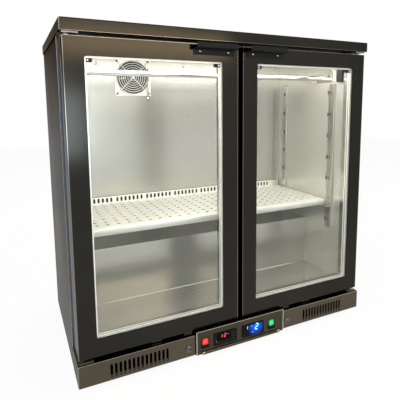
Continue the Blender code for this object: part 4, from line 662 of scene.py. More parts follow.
@dataclass(frozen=True)
class BlackMirrorSteel(Finish):
    """Stainless sheet with a black-bronze vapour coat: a dark mirror of what is round it.

    The rolled sheet's faint waves bend the reflections, and dust makes patches a little duller.

    Attributes:
        colour: the coat's colour.
        dusty: its colour where dust and light wear sit.
        edge_tint: how the coat tints what it mirrors at a glancing angle.
        rough_low: roughness of the clean coat.
        rough_high: roughness of the dusty patches.
        dust_mm: width of one dusty patch.
        wave_mm: length of one wave of the sheet.
        highlight_and_lining: the colour of a painted highlight along the sheet's edges, where the bends would
            catch the light.
        highlight_reach: how far that painted highlight reaches in from the box on each axis, in metres.
        middle: the middle of the piece that is dressed in it.
        half: half the piece's size.
        lining_and_shade_pad: the colour of the uncoated inner sheet.
        lining_from: the y behind which the sheet is the inner one, or a y behind the piece.
        lining_edge: how far in from the box's sides that inner sheet begins.
    """

    colour: str = "#2f2d29"
    dusty: str = "#37342f"
    edge_tint: str = "#6f6a62"
    rough_low: float = 0.13
    rough_high: float = 0.2
    dust_mm: float = 333.3
    wave_mm: float = 60.0
    highlight_and_lining: str = "#8f8b82"
    highlight_reach: Point = (0.0009, 0.0009, 0.0006)
    middle: Point = (0.0, 0.0, 0.0)
    half: Point = (1.0, 1.0, 1.0)
    # lining_and_shade_pad: the colour of the uncoated inner sheet.
    lining_and_shade_pad: str = "#d2d0c9"
    lining_from: float = 1.0
    lining_edge: float = 0.012

    def over(self, node: str, front: float = 0.0) -> "BlackMirrorSteel":
        """The same finish for one CAD node, with the painted edge highlight fitted to that node's box.

        Args:
            node: the CAD node.
            front: how far the sheet lies behind the front of the node's box.

        Returns:
            The finish.
        """
        low, high = (np.array(corner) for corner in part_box(node))
        low = low + np.array((0.0, front, 0.0))
        return replace(
            self, name=f"{self.name}_{node}", middle=tuple(((low + high) / 2).tolist()),
            half=tuple(((high - low) / 2).tolist()))

    # The mask where a highlight is painted along the sheet's edges
    def wear_and_highlight(self, tree: Tree) -> Socket:
        """The mask of the painted edge highlight: there two of x, y and z are within its reach of the box."""
        reach = tuple(half - bend for half, bend in zip(self.half, self.highlight_reach))
        return region(tree, self.middle, reach, (1.0, 1.0, 1.0), 0.0)

    def inner(self, tree: Tree) -> Socket:
        """The mask of the uncoated inner sheet: behind a plane and away from the outer edges.

        Args:
            tree: the node tree.

        Returns:
            The mask.
        """
        reach = tuple(half - self.lining_edge for half in self.half)
        within = region(tree, self.middle, reach, (-1.0, 0.0, -1.0), 1.5)
        where = add_node(tree, "ShaderNodeTexCoord").outputs["Object"]
        parts = add_node(tree, "ShaderNodeSeparateXYZ", links={"Vector": where})
        behind = add_node(
            tree, "ShaderNodeMath", operation="GREATER_THAN", inputs={1: self.lining_from},
            links={0: parts.outputs["Y"]})
        return add_node(
            tree, "ShaderNodeMath", operation="MULTIPLY",
            links={0: within, 1: behind.outputs[0]}).outputs[0]

    def surface(self, tree: Tree) -> Socket:
        """Dust sets the coat's colour and polish; a pale colour paints a highlight along the edges, and the
        inner sheet shows its own colour.

        Args:
            tree: the node tree.

        Returns:
            The shader.
        """
        dust = clouds(tree, self.dust_mm, detail=2.0)
        colour = toned(tree, dust, (0.4, 0.75), self.colour, self.dusty)
        # first a painted highlight on the edges, then the inner sheet's own colour
        for mask, highlight_and_lining in ((self.wear_and_highlight(tree), self.highlight_and_lining), (self.inner(tree), self.lining_and_shade_pad)):
            colour = add_node(
                tree, "ShaderNodeMix", data_type="RGBA", inputs={7: linear(highlight_and_lining)},
                links={0: mask, 6: colour}).outputs[2]
        waves = clouds(tree, self.wave_mm, detail=0.0)
        return skin(
            tree, colour, {"Metallic": 1.0, "Specular Tint": linear(self.edge_tint)},
            (dust, self.rough_low, self.rough_high), (waves, 0.1, 0.4))


@dataclass(frozen=True)
class Clouded(Finish):
    """A finish whose colour, polish and relief all follow one pattern of clouds.

    Attributes:
        low: its colour where the pattern is low.
        high: its colour where the pattern is high.
        band: the pattern's values at which it has those colours.
        size_mm: width of one cloud.
        detail: octaves of finer clouds.
        bend: how far the clouds' outlines are bent.
        rough: roughness where the pattern is low and where it is high, or nothing where it is even.
        relief: strength of the relief and its height in millimetres, or nothing where it is flat.
        inputs: the shader's constant values by socket.
    """

    low: str
    high: str
    band: Pair
    size_mm: float
    detail: float = 3.0
    bend: float = 0.0
    rough: Pair | None = None
    relief: Pair | None = None
    inputs: dict[str, float] = field(default_factory=dict)

    def surface(self, tree: Tree) -> Socket:
        """One pattern sets the colour, the polish and the relief."""
        pattern = clouds(tree, self.size_mm, self.detail, self.bend)
        return skin(
            tree, toned(tree, pattern, self.band, self.low, self.high), self.inputs,
            self.rough and (pattern, *self.rough), self.relief and (pattern, *self.relief))


@dataclass(frozen=True)
class PowderCoat(Finish):
    """Black powder coat on bent sheet: a satin skin with a fine pebble grain.

    Attributes:
        colour: the coat's colour.
        wear_and_highlight: its colour where hands rub it.
        roughness: the coat's roughness.
        pebble_mm: width of one pebble; drawn twice as wide as the real 0.4 mm so that it shows.
        rub_mm: width of one rubbed spot.
    """

    colour: str = "#121211"
    wear_and_highlight: str = "#242321"
    roughness: float = 0.42
    pebble_mm: float = 0.8
    rub_mm: float = 33.3

    def surface(self, tree: Tree) -> Socket:
        """Rubbed spots set the colour and the polish, and pebbles the relief.

        Args:
            tree: the node tree.

        Returns:
            The shader.
        """
        pebbles = clouds(tree, self.pebble_mm, detail=2.0)
        spots = clouds(tree, self.rub_mm)
        return skin(
            tree, toned(tree, spots, (0.45, 0.75), self.colour, self.wear_and_highlight),
            {"IOR": 1.5, "Specular IOR Level": 0.2},
            (spots, self.roughness - 0.08, self.roughness + 0.06), (pebbles, 0.12, 0.2))


@dataclass(frozen=True)
class MouldedPlastic(Finish):
    """ABS or nylon from an etched mould: an even matt skin with a fine leathery texture.

    Attributes:
        colour: the plastic's colour.
        shade: its colour in the texture's hollows.
        roughness: the skin's roughness.
        texture_mm: width of one texture cell.
        wear_mm: width of one worn spot.
        sheen: level of the skin's mirror reflection, 0.5 for a polished one.
    """

    colour: str = "#17171a"
    shade: str = "#0e0e10"
    roughness: float = 0.48
    texture_mm: float = 0.7
    wear_mm: float = 25.0
    sheen: float = 0.1

    def surface(self, tree: Tree) -> Socket:
        """The texture sets the colour and the relief, and wear the polish.

        Args:
            tree: the node tree.

        Returns:
            The shader.
        """
        texture = clouds(tree, self.texture_mm, detail=2.0)
        wear = clouds(tree, self.wear_mm)
        return skin(
            tree, toned(tree, texture, (0.35, 0.65), self.shade, self.colour),
            {"IOR": 1.52, "Specular IOR Level": self.sheen},
            (wear, self.roughness - 0.06, self.roughness + 0.06), (texture, 0.15, 0.15))


@dataclass(frozen=True)
class Galvanised(Finish):
    """Hot-dip galvanised sheet: zinc crystals, a few millimetres wide, each its own grey.

    Attributes:
        light: the brightest crystals.
        dark: the darkest crystals.
        crystal_mm: width of one crystal.
    """

    light: str = "#b4b8ba"
    dark: str = "#8b9093"
    crystal_mm: float = 9.0

    def surface(self, tree: Tree) -> Socket:
        """Each crystal cell has a random grey and a random polish.

        Args:
            tree: the node tree.

        Returns:
            The shader.
        """
        where = add_node(tree, "ShaderNodeTexCoord").outputs["Object"]
        cells = add_node(
            tree, "ShaderNodeTexVoronoi", inputs={"Scale": 1 / (self.crystal_mm * MILLIMETRE)},
            links={"Vector": where})
        chance = add_node(tree, "ShaderNodeSeparateColor", links={"Color": cells.outputs["Color"]})
        return skin(
            tree, toned(tree, chance.outputs[0], (0.0, 1.0), self.dark, self.light),
            {"Metallic": 1.0}, (chance.outputs[1], 0.34, 0.5))


@dataclass(frozen=True)
class FloatGlass(Finish):
    """Clear low-reflection glass: it shows what is behind it, with a faint green body.

    Its index is low, as a multi-layer coat makes it seem, so that the white studio lays no veil over
    the chamber. Lamp rays pass it as they pass a thin pane, so that the chamber behind it is lit.

    Attributes:
        colour: the tint of the light that goes through.
        smear_mm: width of one smear.
    """

    colour: str = "#fbfdfb"
    smear_mm: float = 71.4

    def surface(self, tree: Tree) -> Socket:
        """Smears set tint and polish, and shadow rays go straight through.

        Args:
            tree: the node tree.

        Returns:
            The shader.
        """
        smears = clouds(tree, self.smear_mm, detail=4.0, bend=0.6)
        glass = skin(
            tree, toned(tree, smears, (0.3, 0.8), self.colour, "#ffffff"),
            {"Transmission Weight": 1.0, "IOR": 1.18}, (smears, 0.0, 0.003))
        clear = add_node(tree, "ShaderNodeBsdfTransparent", inputs={"Color": linear(self.colour)})
        path = add_node(tree, "ShaderNodeLightPath")
        return add_node(
            tree, "ShaderNodeMixShader",
            links={0: path.outputs["Is Shadow Ray"], 1: glass, 2: clear.outputs["BSDF"]}).outputs["Shader"]


@dataclass(frozen=True)
class SpacerBar(Finish):
    """Mill aluminium spacer between two panes: pale extruded metal with a row of breather holes.

    Attributes:
        middle: y of the row of holes, in metres.
        pitch_mm: distance between two holes.
        hole_mm: length of one hole.
        slit_mm: height of one hole.
        streak_mm: width of the streaks that the die leaves.
        colour: the aluminium's colour.
        hole: the colour in a hole.
    """

    middle: float
    pitch_mm: float = 5.0
    hole_mm: float = 3.2
    slit_mm: float = 2.2
    streak_mm: float = 16.7
    colour: str = "#f3f1ea"
    hole: str = "#2c2a27"

    def surface(self, tree: Tree) -> Socket:
        """Puts a hole where the way along is near a mark and y is near the middle.

        Args:
            tree: the node tree.

        Returns:
            The shader.
        """
        where = add_node(tree, "ShaderNodeTexCoord").outputs["Object"]
        parts = add_node(tree, "ShaderNodeSeparateXYZ", links={"Vector": where})
        near = []
        for axis in ("X", "Z"):
            wrapped = add_node(
                tree, "ShaderNodeMath", operation="PINGPONG",
                inputs={1: self.pitch_mm * MILLIMETRE / 2}, links={0: parts.outputs[axis]})
            near.append(add_node(
                tree, "ShaderNodeMath", operation="LESS_THAN",
                inputs={1: self.hole_mm * MILLIMETRE / 2}, links={0: wrapped.outputs[0]}))
        either = add_node(
            tree, "ShaderNodeMath", operation="MAXIMUM",
            links={0: near[0].outputs[0], 1: near[1].outputs[0]})
        row = add_node(
            tree, "ShaderNodeMath", operation="COMPARE",
            inputs={1: self.middle, 2: self.slit_mm * MILLIMETRE / 2}, links={0: parts.outputs["Y"]})
        hole = add_node(
            tree, "ShaderNodeMath", operation="MULTIPLY",
            links={0: either.outputs[0], 1: row.outputs[0]})
        return skin(
            tree, toned(tree, hole.outputs[0], (0.4, 0.6), self.colour, self.hole), {"Metallic": 0.55},
            (clouds(tree, self.streak_mm), 0.3, 0.42))


@dataclass(frozen=True)
class LitLens(Finish):
    """Translucent polycarbonate with a lamp behind it: the middle glows and the rim stays deep.

    Attributes:
        deep: the lens colour at its rim.
        bright: the lens colour over the lamp.
        centre: the lamp's place.
        reach: distance over which the glow fades, in metres.
        strength: how bright the glow is.
        half: half the lens's width and height; black plastic is round it.
        surround: that plastic's colour.
        speck_mm: width of one speck in the plastic.
    """

    deep: str
    bright: str
    centre: Point
    reach: float
    strength: float
    half: Pair = (1.0, 1.0)
    surround: str = "#050505"
    speck_mm: float = 3.33

    def surface(self, tree: Tree) -> Socket:
        """The glow fades with the distance from the lamp, from a tenth of the reach to nearly all.

        Args:
            tree: the node tree.

        Returns:
            The shader.
        """
        where = add_node(tree, "ShaderNodeTexCoord").outputs["Object"]
        away = add_node(
            tree, "ShaderNodeVectorMath", operation="DISTANCE", inputs={1: self.centre},
            links={0: where})
        glow = toned(
            tree, away.outputs["Value"], (0.95 * self.reach, 0.1 * self.reach), self.deep, self.bright)
        width, height = self.half
        lens = region(tree, self.centre, (width, 0.0, height), (-1.0, 0.0, -1.0), 1.5)
        colour = add_node(
            tree, "ShaderNodeMix", data_type="RGBA", inputs={6: linear(self.surround)},
            links={0: lens, 7: glow})
        return skin(
            tree, colour.outputs[2],
            {"IOR": 1.58, "Specular IOR Level": 0.1, "Emission Strength": self.strength},
            (clouds(tree, self.speck_mm), 0.16, 0.26))


@dataclass(frozen=True)
class CappedChannel(Finish):
    """A light bar: satin white lacquer on an aluminium channel between dark nylon end blocks.

    Attributes:
        ends: distance from the middle at which the end blocks begin, in metres.
        lacquer: the channel's colour.
        shade: its colour in the lacquer's faint clouds.
        block: the end blocks' colour.
        cloud_mm: width of one cloud.
    """

    ends: float
    lacquer: str = "#dedcd5"
    shade: str = "#d2d0c8"
    block: str = "#1b1b1c"
    cloud_mm: float = 40.0

    def surface(self, tree: Tree) -> Socket:
        """Lacquer, and nylon where x is farther out than the blocks' inner faces.

        Args:
            tree: the node tree.

        Returns:
            The shader.
        """
        cloud = clouds(tree, self.cloud_mm)
        lacquer = toned(tree, cloud, (0.35, 0.7), self.shade, self.lacquer)
        outer = region(tree, (0.0, 0.0, 0.0), (self.ends, 0.0, 0.0), (1.0, 0.0, 0.0), 0.5)
        colour = add_node(
            tree, "ShaderNodeMix", data_type="RGBA", inputs={7: linear(self.block)},
            links={0: outer, 6: lacquer})
        return skin(
            tree, colour.outputs[2], {"IOR": 1.5, "Specular IOR Level": 0.2}, (cloud, 0.35, 0.45))


@dataclass(frozen=True)
class FloorPaint(Finish):
    """Pale studio floor paint: mostly white to the eye, but it keeps the object's shadow.

    Attributes:
        colour: the paint's colour.
        speck: its colour in the specks.
        speck_mm: width of one speck.
        white: how much of what is seen is plain white.
        strength: how bright that white is.
    """

    colour: str = "#efefee"
    speck: str = "#e9e9e7"
    speck_mm: float = 16.7
    white: float = 0.88
    strength: float = 1.04

    def surface(self, tree: Tree) -> Socket:
        """White light is mixed into the paint for the rays that show the floor.

        Args:
            tree: the node tree.

        Returns:
            The shader.
        """
        specks = clouds(tree, self.speck_mm)
        paint = skin(
            tree, toned(tree, specks, CLOUD_RANGE, self.speck, self.colour), {"Roughness": 0.7})
        light = add_node(
            tree, "ShaderNodeEmission", inputs={"Color": linear("#ffffff"), "Strength": self.strength})
        share = add_node(
            tree, "ShaderNodeMath", operation="MULTIPLY", inputs={1: self.white},
            links={0: seen_white(tree)})
        return add_node(
            tree, "ShaderNodeMixShader",
            links={0: share.outputs[0], 1: paint, 2: light.outputs[0]}).outputs["Shader"]


@dataclass(frozen=True)
class GradedCard(Finish):
    """A studio card that only glossy surfaces see, graded from a pale foot to a dim top.

    Attributes:
        foot: the card's colour low down.
        top: its colour high up.
        band: the heights between which the colour turns.
    """

    foot: str = "#f2f4f6"
    top: str = "#84715e"
    band: Pair = (0.45, 1.0)

    def surface(self, tree: Tree) -> Socket:
        """The card shines in its own colour for glossy rays, and all others pass it.

        Args:
            tree: the node tree.

        Returns:
            The shader.
        """
        where = add_node(tree, "ShaderNodeTexCoord").outputs["Object"]
        parts = add_node(tree, "ShaderNodeSeparateXYZ", links={"Vector": where})
        tone = toned(tree, parts.outputs["Z"], self.band, self.foot, self.top)
        light = add_node(tree, "ShaderNodeEmission", links={"Color": tone})
        clear = add_node(tree, "ShaderNodeBsdfTransparent")
        path = add_node(tree, "ShaderNodeLightPath")
        return add_node(
            tree, "ShaderNodeMixShader",
            links={0: path.outputs["Is Glossy Ray"], 1: clear.outputs["BSDF"],
                   2: light.outputs[0]}).outputs["Shader"]


# Pieces

MATERIALS: dict[str, bpy.types.Material] = {}


def made(finish: Finish) -> bpy.types.Material:
    """The finish's material, built once and then shared.

    Args:
        finish: the finish.

    Returns:
        The material.
    """
    if finish.name not in MATERIALS:
        MATERIALS[finish.name] = finish.material()
    return MATERIALS[finish.name]


def dress(finish: Finish, *names: str) -> None:
    """Gives CAD nodes their finish.

    Args:
        finish: the finish.
        *names: the nodes' names.
    """
    for name in names:
        item = bpy.data.objects[name]
        item.data.materials.clear()
        item.data.materials.append(made(finish))
        LOG.info("dressed %s in %s", name, finish.name)


@dataclass(frozen=True)
class Fit:
    """How a new piece belongs to the object.

    Attributes:
        slot: the record's material slot for the piece; it is not used.
        body: the CAD body that it rides on.
        wall: thickness that an open sheet gets, or 0.
        smooth: the largest angle between faces that is shaded smooth, in degrees.
    """

    slot: str
    body: str = "cabinet"
    wall: float = 0.0
    smooth: float = 38.0


def add_piece(name: str, surface: Surface, finish: Finish, fit: Fit) -> bpy.types.Object:
    """Makes a new piece from a surface, with its doubles merged.

    Args:
        name: the piece's name.
        surface: its surface, in place.
        finish: its finish.
        fit: its body, wall and shading.

    Returns:
        The object.
    """
    mesh = bpy.data.meshes.new(name)
    faces = [row for part in surface.faces for row in part.tolist()]
    mesh.from_pydata(surface.points.tolist(), [], faces)
    work = bmesh.new()
    work.from_mesh(mesh)
    bmesh.ops.remove_doubles(work, verts=work.verts, dist=WELD)
    work.to_mesh(mesh)
    work.free()
    mesh.shade_smooth()
    mesh.set_sharp_from_angle(angle=math.radians(fit.smooth))
    mesh.materials.append(made(finish))
    item = bpy.data.objects.new(name, mesh)
    bpy.context.scene.collection.objects.link(item)
    if fit.wall:
        solid = item.modifiers.new("sheet", "SOLIDIFY")
        solid.thickness = fit.wall
        solid.offset = 0
    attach(item, fit.body)
    LOG.info("made %s: %d points", name, len(mesh.vertices))
    return item


def middle_of(name: str) -> np.ndarray:
    """The middle of a CAD node's box."""
    low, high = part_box(name)
    return (np.array(low) + np.array(high)) / 2


# Finishes of the cabinet

# Each black bronze finish paints a highlight in a pale colour along the edges of its node's box
BLACK_MIRROR = BlackMirrorSteel("black_bronze_mirror_steel")
WORKTOP_STEEL = BlackMirrorSteel("black_bronze_worktop_steel", highlight_reach=(0.0026, 0.0026, 0.0005))
BLACK_SIDE = BlackMirrorSteel(
    "black_bronze_side_steel", "#464038", "#4e473e", "#54483a", 0.2, 0.24, highlight_and_lining="#c4c2c4")
KICK_BRONZE = BlackMirrorSteel(
    "dark_bronze_kick_steel", "#544d41", "#5f5749", "#6f6a62", 0.22, 0.28, highlight_and_lining="#b9b4aa")
BRONZE = BlackMirrorSteel(
    "dark_bronze_module_steel", "#423e31", "#4c4839", "#8d8875", 0.24, 0.3, highlight_and_lining="#c4bfb0",
    highlight_reach=(0.0022, 0.0012, 0.0012))
LINER_X = BrushedSteel("stainless_liner_brushed_along", "#bdbab4", "#b2afa8", 0.22, 0.27, metallic=0.72)
LINER_Z = BrushedSteel(
    "stainless_liner_brushed_upright", "#c3c1ba", "#b8b5ad", 0.26, 0.32, Grain.ALONG_Z)
WALL_MIRROR = BrushedSteel(
    "stainless_wall_bright", "#d6d3ca", "#cbc8bf", 0.17, 0.22, Grain.ALONG_Z, metallic=0.66)
GUARD_WIRE = BrushedSteel("bright_zinc_plated_wire", "#fbfaf6", "#f1efe9", 0.3, 0.4, metallic=0.25)
FRAME_STEEL = BrushedSteel(
    "stainless_front_frame", "#8d979d", "#7f898f", 0.2, 0.28, edge_tint="#7f8b94")
HINGE_STEEL = BrushedSteel("stainless_hinge_plate", "#a3a19b", "#8b8983", 0.3, 0.4)
SHELF_STEEL = BrushedSteel("stainless_shelf_satin", "#f8f7f2", "#efede6", 0.4, 0.5, metallic=0.5)
RAIL_STEEL = BrushedSteel("stainless_rail_polished", "#dad8d3", "#c0bdb7", 0.12, 0.2)
POST_STEEL = BrushedSteel("stainless_post_brushed", "#d0cdc6", "#b0aca3", grain=Grain.ALONG_Z)
CAST_FRAME = BrushedSteel("die_cast_fan_frame", "#d6d3ca", "#cbc8bf", 0.34, 0.44)
ZINC = Galvanised("galvanised_sheet")
# Darker zinc for the base pan: painted shade for the shadow it lies in under the cabinet
SHADED_ZINC = Galvanised("galvanised_sheet_painted_shade", "#4c4f51", "#383b3d")
BLACK_COAT = PowderCoat("black_powder_coat", "#0b0b0a", "#151413")
BLACK_PLASTIC = MouldedPlastic("black_moulded_abs")
ROTOR_PLASTIC = MouldedPlastic("black_glass_filled_nylon", "#08090a", "#050506", 0.6, sheen=0.02)
DARK_PLASTIC = MouldedPlastic("dark_grey_moulded_nylon", "#2b2b2d", "#1d1d1f")
# White pads on the door rests: their white also paints the rests' bright reflection, a painted highlight
HIGHLIGHT_PAD = MouldedPlastic("white_pad_painted_highlight", "#eeece4", "#dfddd4")
GLASS = FloatGlass("clear_float_glass")

# Chrome plate on brass: a clean bright mirror with hairline handling marks in groups 8 mm wide
CHROME = Clouded(
    "chrome_plated_brass", "#b9b9b8", "#dadada", (0.35, 0.6), 8.33, 5.0, 0.8, (0.06, 0.16),
    inputs={"Metallic": 1.0})

# Polished screws, blackened screws and rolled fins, which have the same marks but are duller
SCREW_STEEL = replace(
    CHROME, name="stainless_screw_steel", low="#a6a39c", high="#cfcdc8", rough=(0.16, 0.28))
DARK_STEEL = replace(
    CHROME, name="blackened_screw_steel", low="#4a4843", high="#6f6c66", rough=(0.24, 0.36))
ALUMINIUM = replace(
    CHROME, name="rolled_aluminium_fin", low="#aeb1b0", high="#cfd1d0", rough=(0.28, 0.4))

# Extruded soft PVC: dull, and paler in soft spots where it has bloomed
GASKET = Clouded(
    "pale_grey_soft_pvc_gasket", "#a9a8a3", "#bbbab4", (0.4, 0.8), 11.1, 4.0, rough=(0.6, 0.78),
    relief=(0.1, 0.2), inputs={"IOR": 1.52})

# Polyurethane foam poured between the sheets: pale yellow with open cells
FOAM = Clouded(
    "poured_polyurethane_foam", "#c9a561", "#e8d19a", CLOUD_RANGE, 1.5, relief=(0.4, 1.0),
    inputs={"Roughness": 0.9, "IOR": 1.45})

# A display's smoked acrylic window: a nearly black body, polished, with faint wiping marks
WINDOW = Clouded(
    "smoked_acrylic_window", "#060607", "#0d0d0f", (0.4, 0.75), 11.1, 4.0, 0.5, (0.05, 0.12),
    inputs={"IOR": 1.49, "Specular IOR Level": 0.05})

# The light strip's diffuser and the displays' lit segments, which glow a little unevenly
STRIP_LIGHT = Clouded(
    "light_strip_diffuser", "#f3f6ff", "#ffffff", (0.3, 0.6), 18.0, 1.0,
    inputs={"IOR": 1.5, "Roughness": 0.3, "Emission Strength": 14.0})
RED_SEGMENT = Clouded(
    "red_display_segment", "#f03a4a", "#ff5f6c", (0.3, 0.6), 3.0, 1.0,
    inputs={"IOR": 1.5, "Roughness": 0.3, "Emission Strength": 1.3})
BLUE_SEGMENT = replace(RED_SEGMENT, name="pale_blue_display_segment", low="#66cffa", high="#9beaff")


# Sub-assemblies

@dataclass
class Casing:
    """The outer sheets: worktop, sides, back, base, kick panel and feet.

    Attributes:
        screw: radius and height of a sheet screw's head.
        screw_rows: screws down each edge of the rear panel.
        screw_inset: how far they stand in from the rear panel's edge.
    """

    screw: Pair = (0.0036, 0.0012)
    screw_rows: int = 5
    screw_inset: float = 0.009

    def dress(self) -> None:
        """Gives the outer sheets their finishes."""
        for finish, name in (
                (WORKTOP_STEEL, "worktop"), (BLACK_MIRROR, "top_rail"), (KICK_BRONZE, "kick_panel"),
                (BLACK_SIDE, "side_panel_left"), (BLACK_SIDE, "side_panel_right")):
            dress(finish.over(name), name)
        dress(ZINC, "rear_panel")
        # the base pan takes the darker zinc, a painted shade
        dress(SHADED_ZINC, "base_pan")
        dress(FOAM, "insulation")
        dress(BLACK_PLASTIC, *(side.of(f"foot_{end}") for end in ENDS for side in Side))

    def build(self) -> None:
        """Dresses the sheets and adds the screws that hold the rear panel."""
        self.dress()
        low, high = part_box("rear_panel")
        margin = 2 * self.screw_inset
        heights = np.linspace(low[2] + margin, high[2] - margin, self.screw_rows).tolist()
        places = [
            (side.value * (high[0] - self.screw_inset), high[1], height)
            for side in Side for height in heights]
        add_piece(
            "rear_panel_screws", screws(self.screw, places, Facing.REAR), SCREW_STEEL,
            Fit("bright_steel"))


@dataclass
class Chamber:
    """The stainless chamber: liner sheets, duct panel, frame, centre post and slotted posts.

    Attributes:
        screw: radius and height of a duct panel screw's head.
        screw_columns: x of each column of those screws.
        screw_lift: height of the lower screws above the panel's foot.
        screw_drop: distance of the upper screws from the panel's top.
        bead: radius of the sealing bead at the step's foot.
        bead_gap: distance of the bead's ends from the walls.
        step_depth: distance from the duct panel to the bead in front of the step.
        floor: height of the bead's middle line on the chamber's floor.
        lining_and_shade_pad: width, height, corner, thickness and rim of the black pad in a post's slot, a
            painted shade for the unlit hollow behind it.
        shade_pad_depth: how far a shade pad's back is from the wall side of the post.
        slot_drop: distance of the first slot from the post's top.
        slot_pitch: distance between slots.
        clip_slot: number of the slot that holds the shelf clip, counted from 0 at the top.
        shade_strip: height, corner, thickness and rim of the dark strip on the duct panel behind the upstand,
            a painted shade that the upstand's slots show.
        shade_strip_inset: distance of the strip's ends from the shelf's.
        shade_strip_drop: distance of its top from the top of the shelf's upstand.
        rest_pad: width, length, corner, thickness and rim of a door rest's white pad, whose white also paints
            the rest's bright reflection as a painted highlight.
        rest: distance of a rest's middle from the cabinet's middle, its y and its height.
    """

    screw: Pair = (0.0035, 0.0012)
    screw_columns: Sizes = (-0.3, 0.0, 0.3)
    screw_lift: float = 0.1
    screw_drop: float = 0.02
    bead: float = 0.0016
    bead_gap: float = 0.002
    step_depth: float = 0.180
    floor: float = 0.0966
    lining_and_shade_pad: Sizes = (0.0088, 0.0125, 0.002, 0.0012, 0.0003)
    shade_pad_depth: float = 0.0072
    slot_drop: float = 0.030
    slot_pitch: float = 0.0722
    clip_slot: int = 5
    shade_strip: Sizes = (0.021, 0.001, 0.001, 0.0003)
    shade_strip_inset: float = 0.015
    shade_strip_drop: float = 0.001
    rest_pad: Sizes = (0.026, 0.036, 0.002, 0.0034, 0.0006)
    rest: Point = (0.246, -0.2075, 0.0702)

    def dress(self) -> None:
        """Gives the chamber's sheets their brushed finishes."""
        dress(LINER_X, "liner_ceiling_and_rear", "liner_floor_and_step", "air_duct_panel")
        dress(WALL_MIRROR, "liner_left", "liner_right")
        dress(FRAME_STEEL, "front_frame")
        dress(LINER_Z, "centre_post")
        dress(POST_STEEL, *(side.of(f"post_{end}") for end in ENDS for side in Side))

    def build(self) -> None:
        """Dresses the chamber and adds screws, bead, black pads in the posts' slots and a dark strip behind
        the upstand, both painted shade, and the door rests' white pads, whose white is partly a painted
        highlight.
        """
        self.dress()
        low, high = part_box("air_duct_panel")
        places = [
            (x, low[1], z) for x in self.screw_columns
            for z in (low[2] + self.screw_lift, high[2] - self.screw_drop)]
        add_piece(
            "duct_panel_screws", screws(self.screw, places), SCREW_STEEL, Fit("bright_steel"))
        self.step_bead()
        self.slot_shade_pads()
        self.return_air_shade_strip()
        # white pads whose white is partly a painted highlight of the rests
        add_piece(
            "door_rest_highlight_pads",
            pads(self.rest_pad, [(side.value * self.rest[0], *self.rest[1:]) for side in Side], Facing.UP),
            HIGHLIGHT_PAD, Fit("black_plastic"))

    def step_bead(self) -> None:
        """Adds the bright sealing bead in the corner between the floor and the step's face."""
        low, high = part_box("air_duct_panel")
        stations = np.linspace(-1, 1, 9)
        level = np.ones(len(stations))
        path = np.column_stack([
            stations * (high[0] - self.bead_gap), level * (low[1] - self.step_depth), level * self.floor])
        radius = self.bead * np.where(abs(stations) < 1, 1.0, 0.0)
        add_piece(
            "step_sealing_bead", tube(path, radius, (0.0, 0.0, 1.0), 10), SHELF_STEEL,
            Fit("brushed_steel", smooth=60))

    def slot_shade_pads(self) -> None:
        """Adds black pads in the posts' slots, a painted shade for the unlit hollow behind them, but not
        behind the shelf clips.
        """
        shade_pads = []
        for end in ENDS:
            low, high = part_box(f"post_{end}_right")
            levels = np.arange(high[2] - self.slot_drop, low[2] + self.lining_and_shade_pad[1], -self.slot_pitch)
            places = [
                (high[0] - self.shade_pad_depth, (low[1] + high[1]) / 2, level)
                for level in np.delete(levels, self.clip_slot).tolist()]
            right = pads(self.lining_and_shade_pad, places, Facing.LEFT)
            shade_pads += [right, right.mirrored()]
        # black pads: painted shade for the hollow behind the slots
        add_piece("post_slot_painted_shade", joined(shade_pads), BLACK_COAT, Fit("black_metal"))

    def return_air_shade_strip(self) -> None:
        """Adds a dark strip behind the shelf's slotted upstand, a painted shade that the slots show."""
        low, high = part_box("shelf")
        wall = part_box("air_duct_panel")[0][1]
        middle = (0, wall, high[2] - self.shade_strip[0] / 2 - self.shade_strip_drop)
        shade_strip = pads((high[0] - low[0] - 2 * self.shade_strip_inset, *self.shade_strip), [middle])
        # dark strip: painted shade seen through the upstand's slots
        add_piece("return_air_shade_strip", shade_strip, BLACK_COAT, Fit("black_metal"))


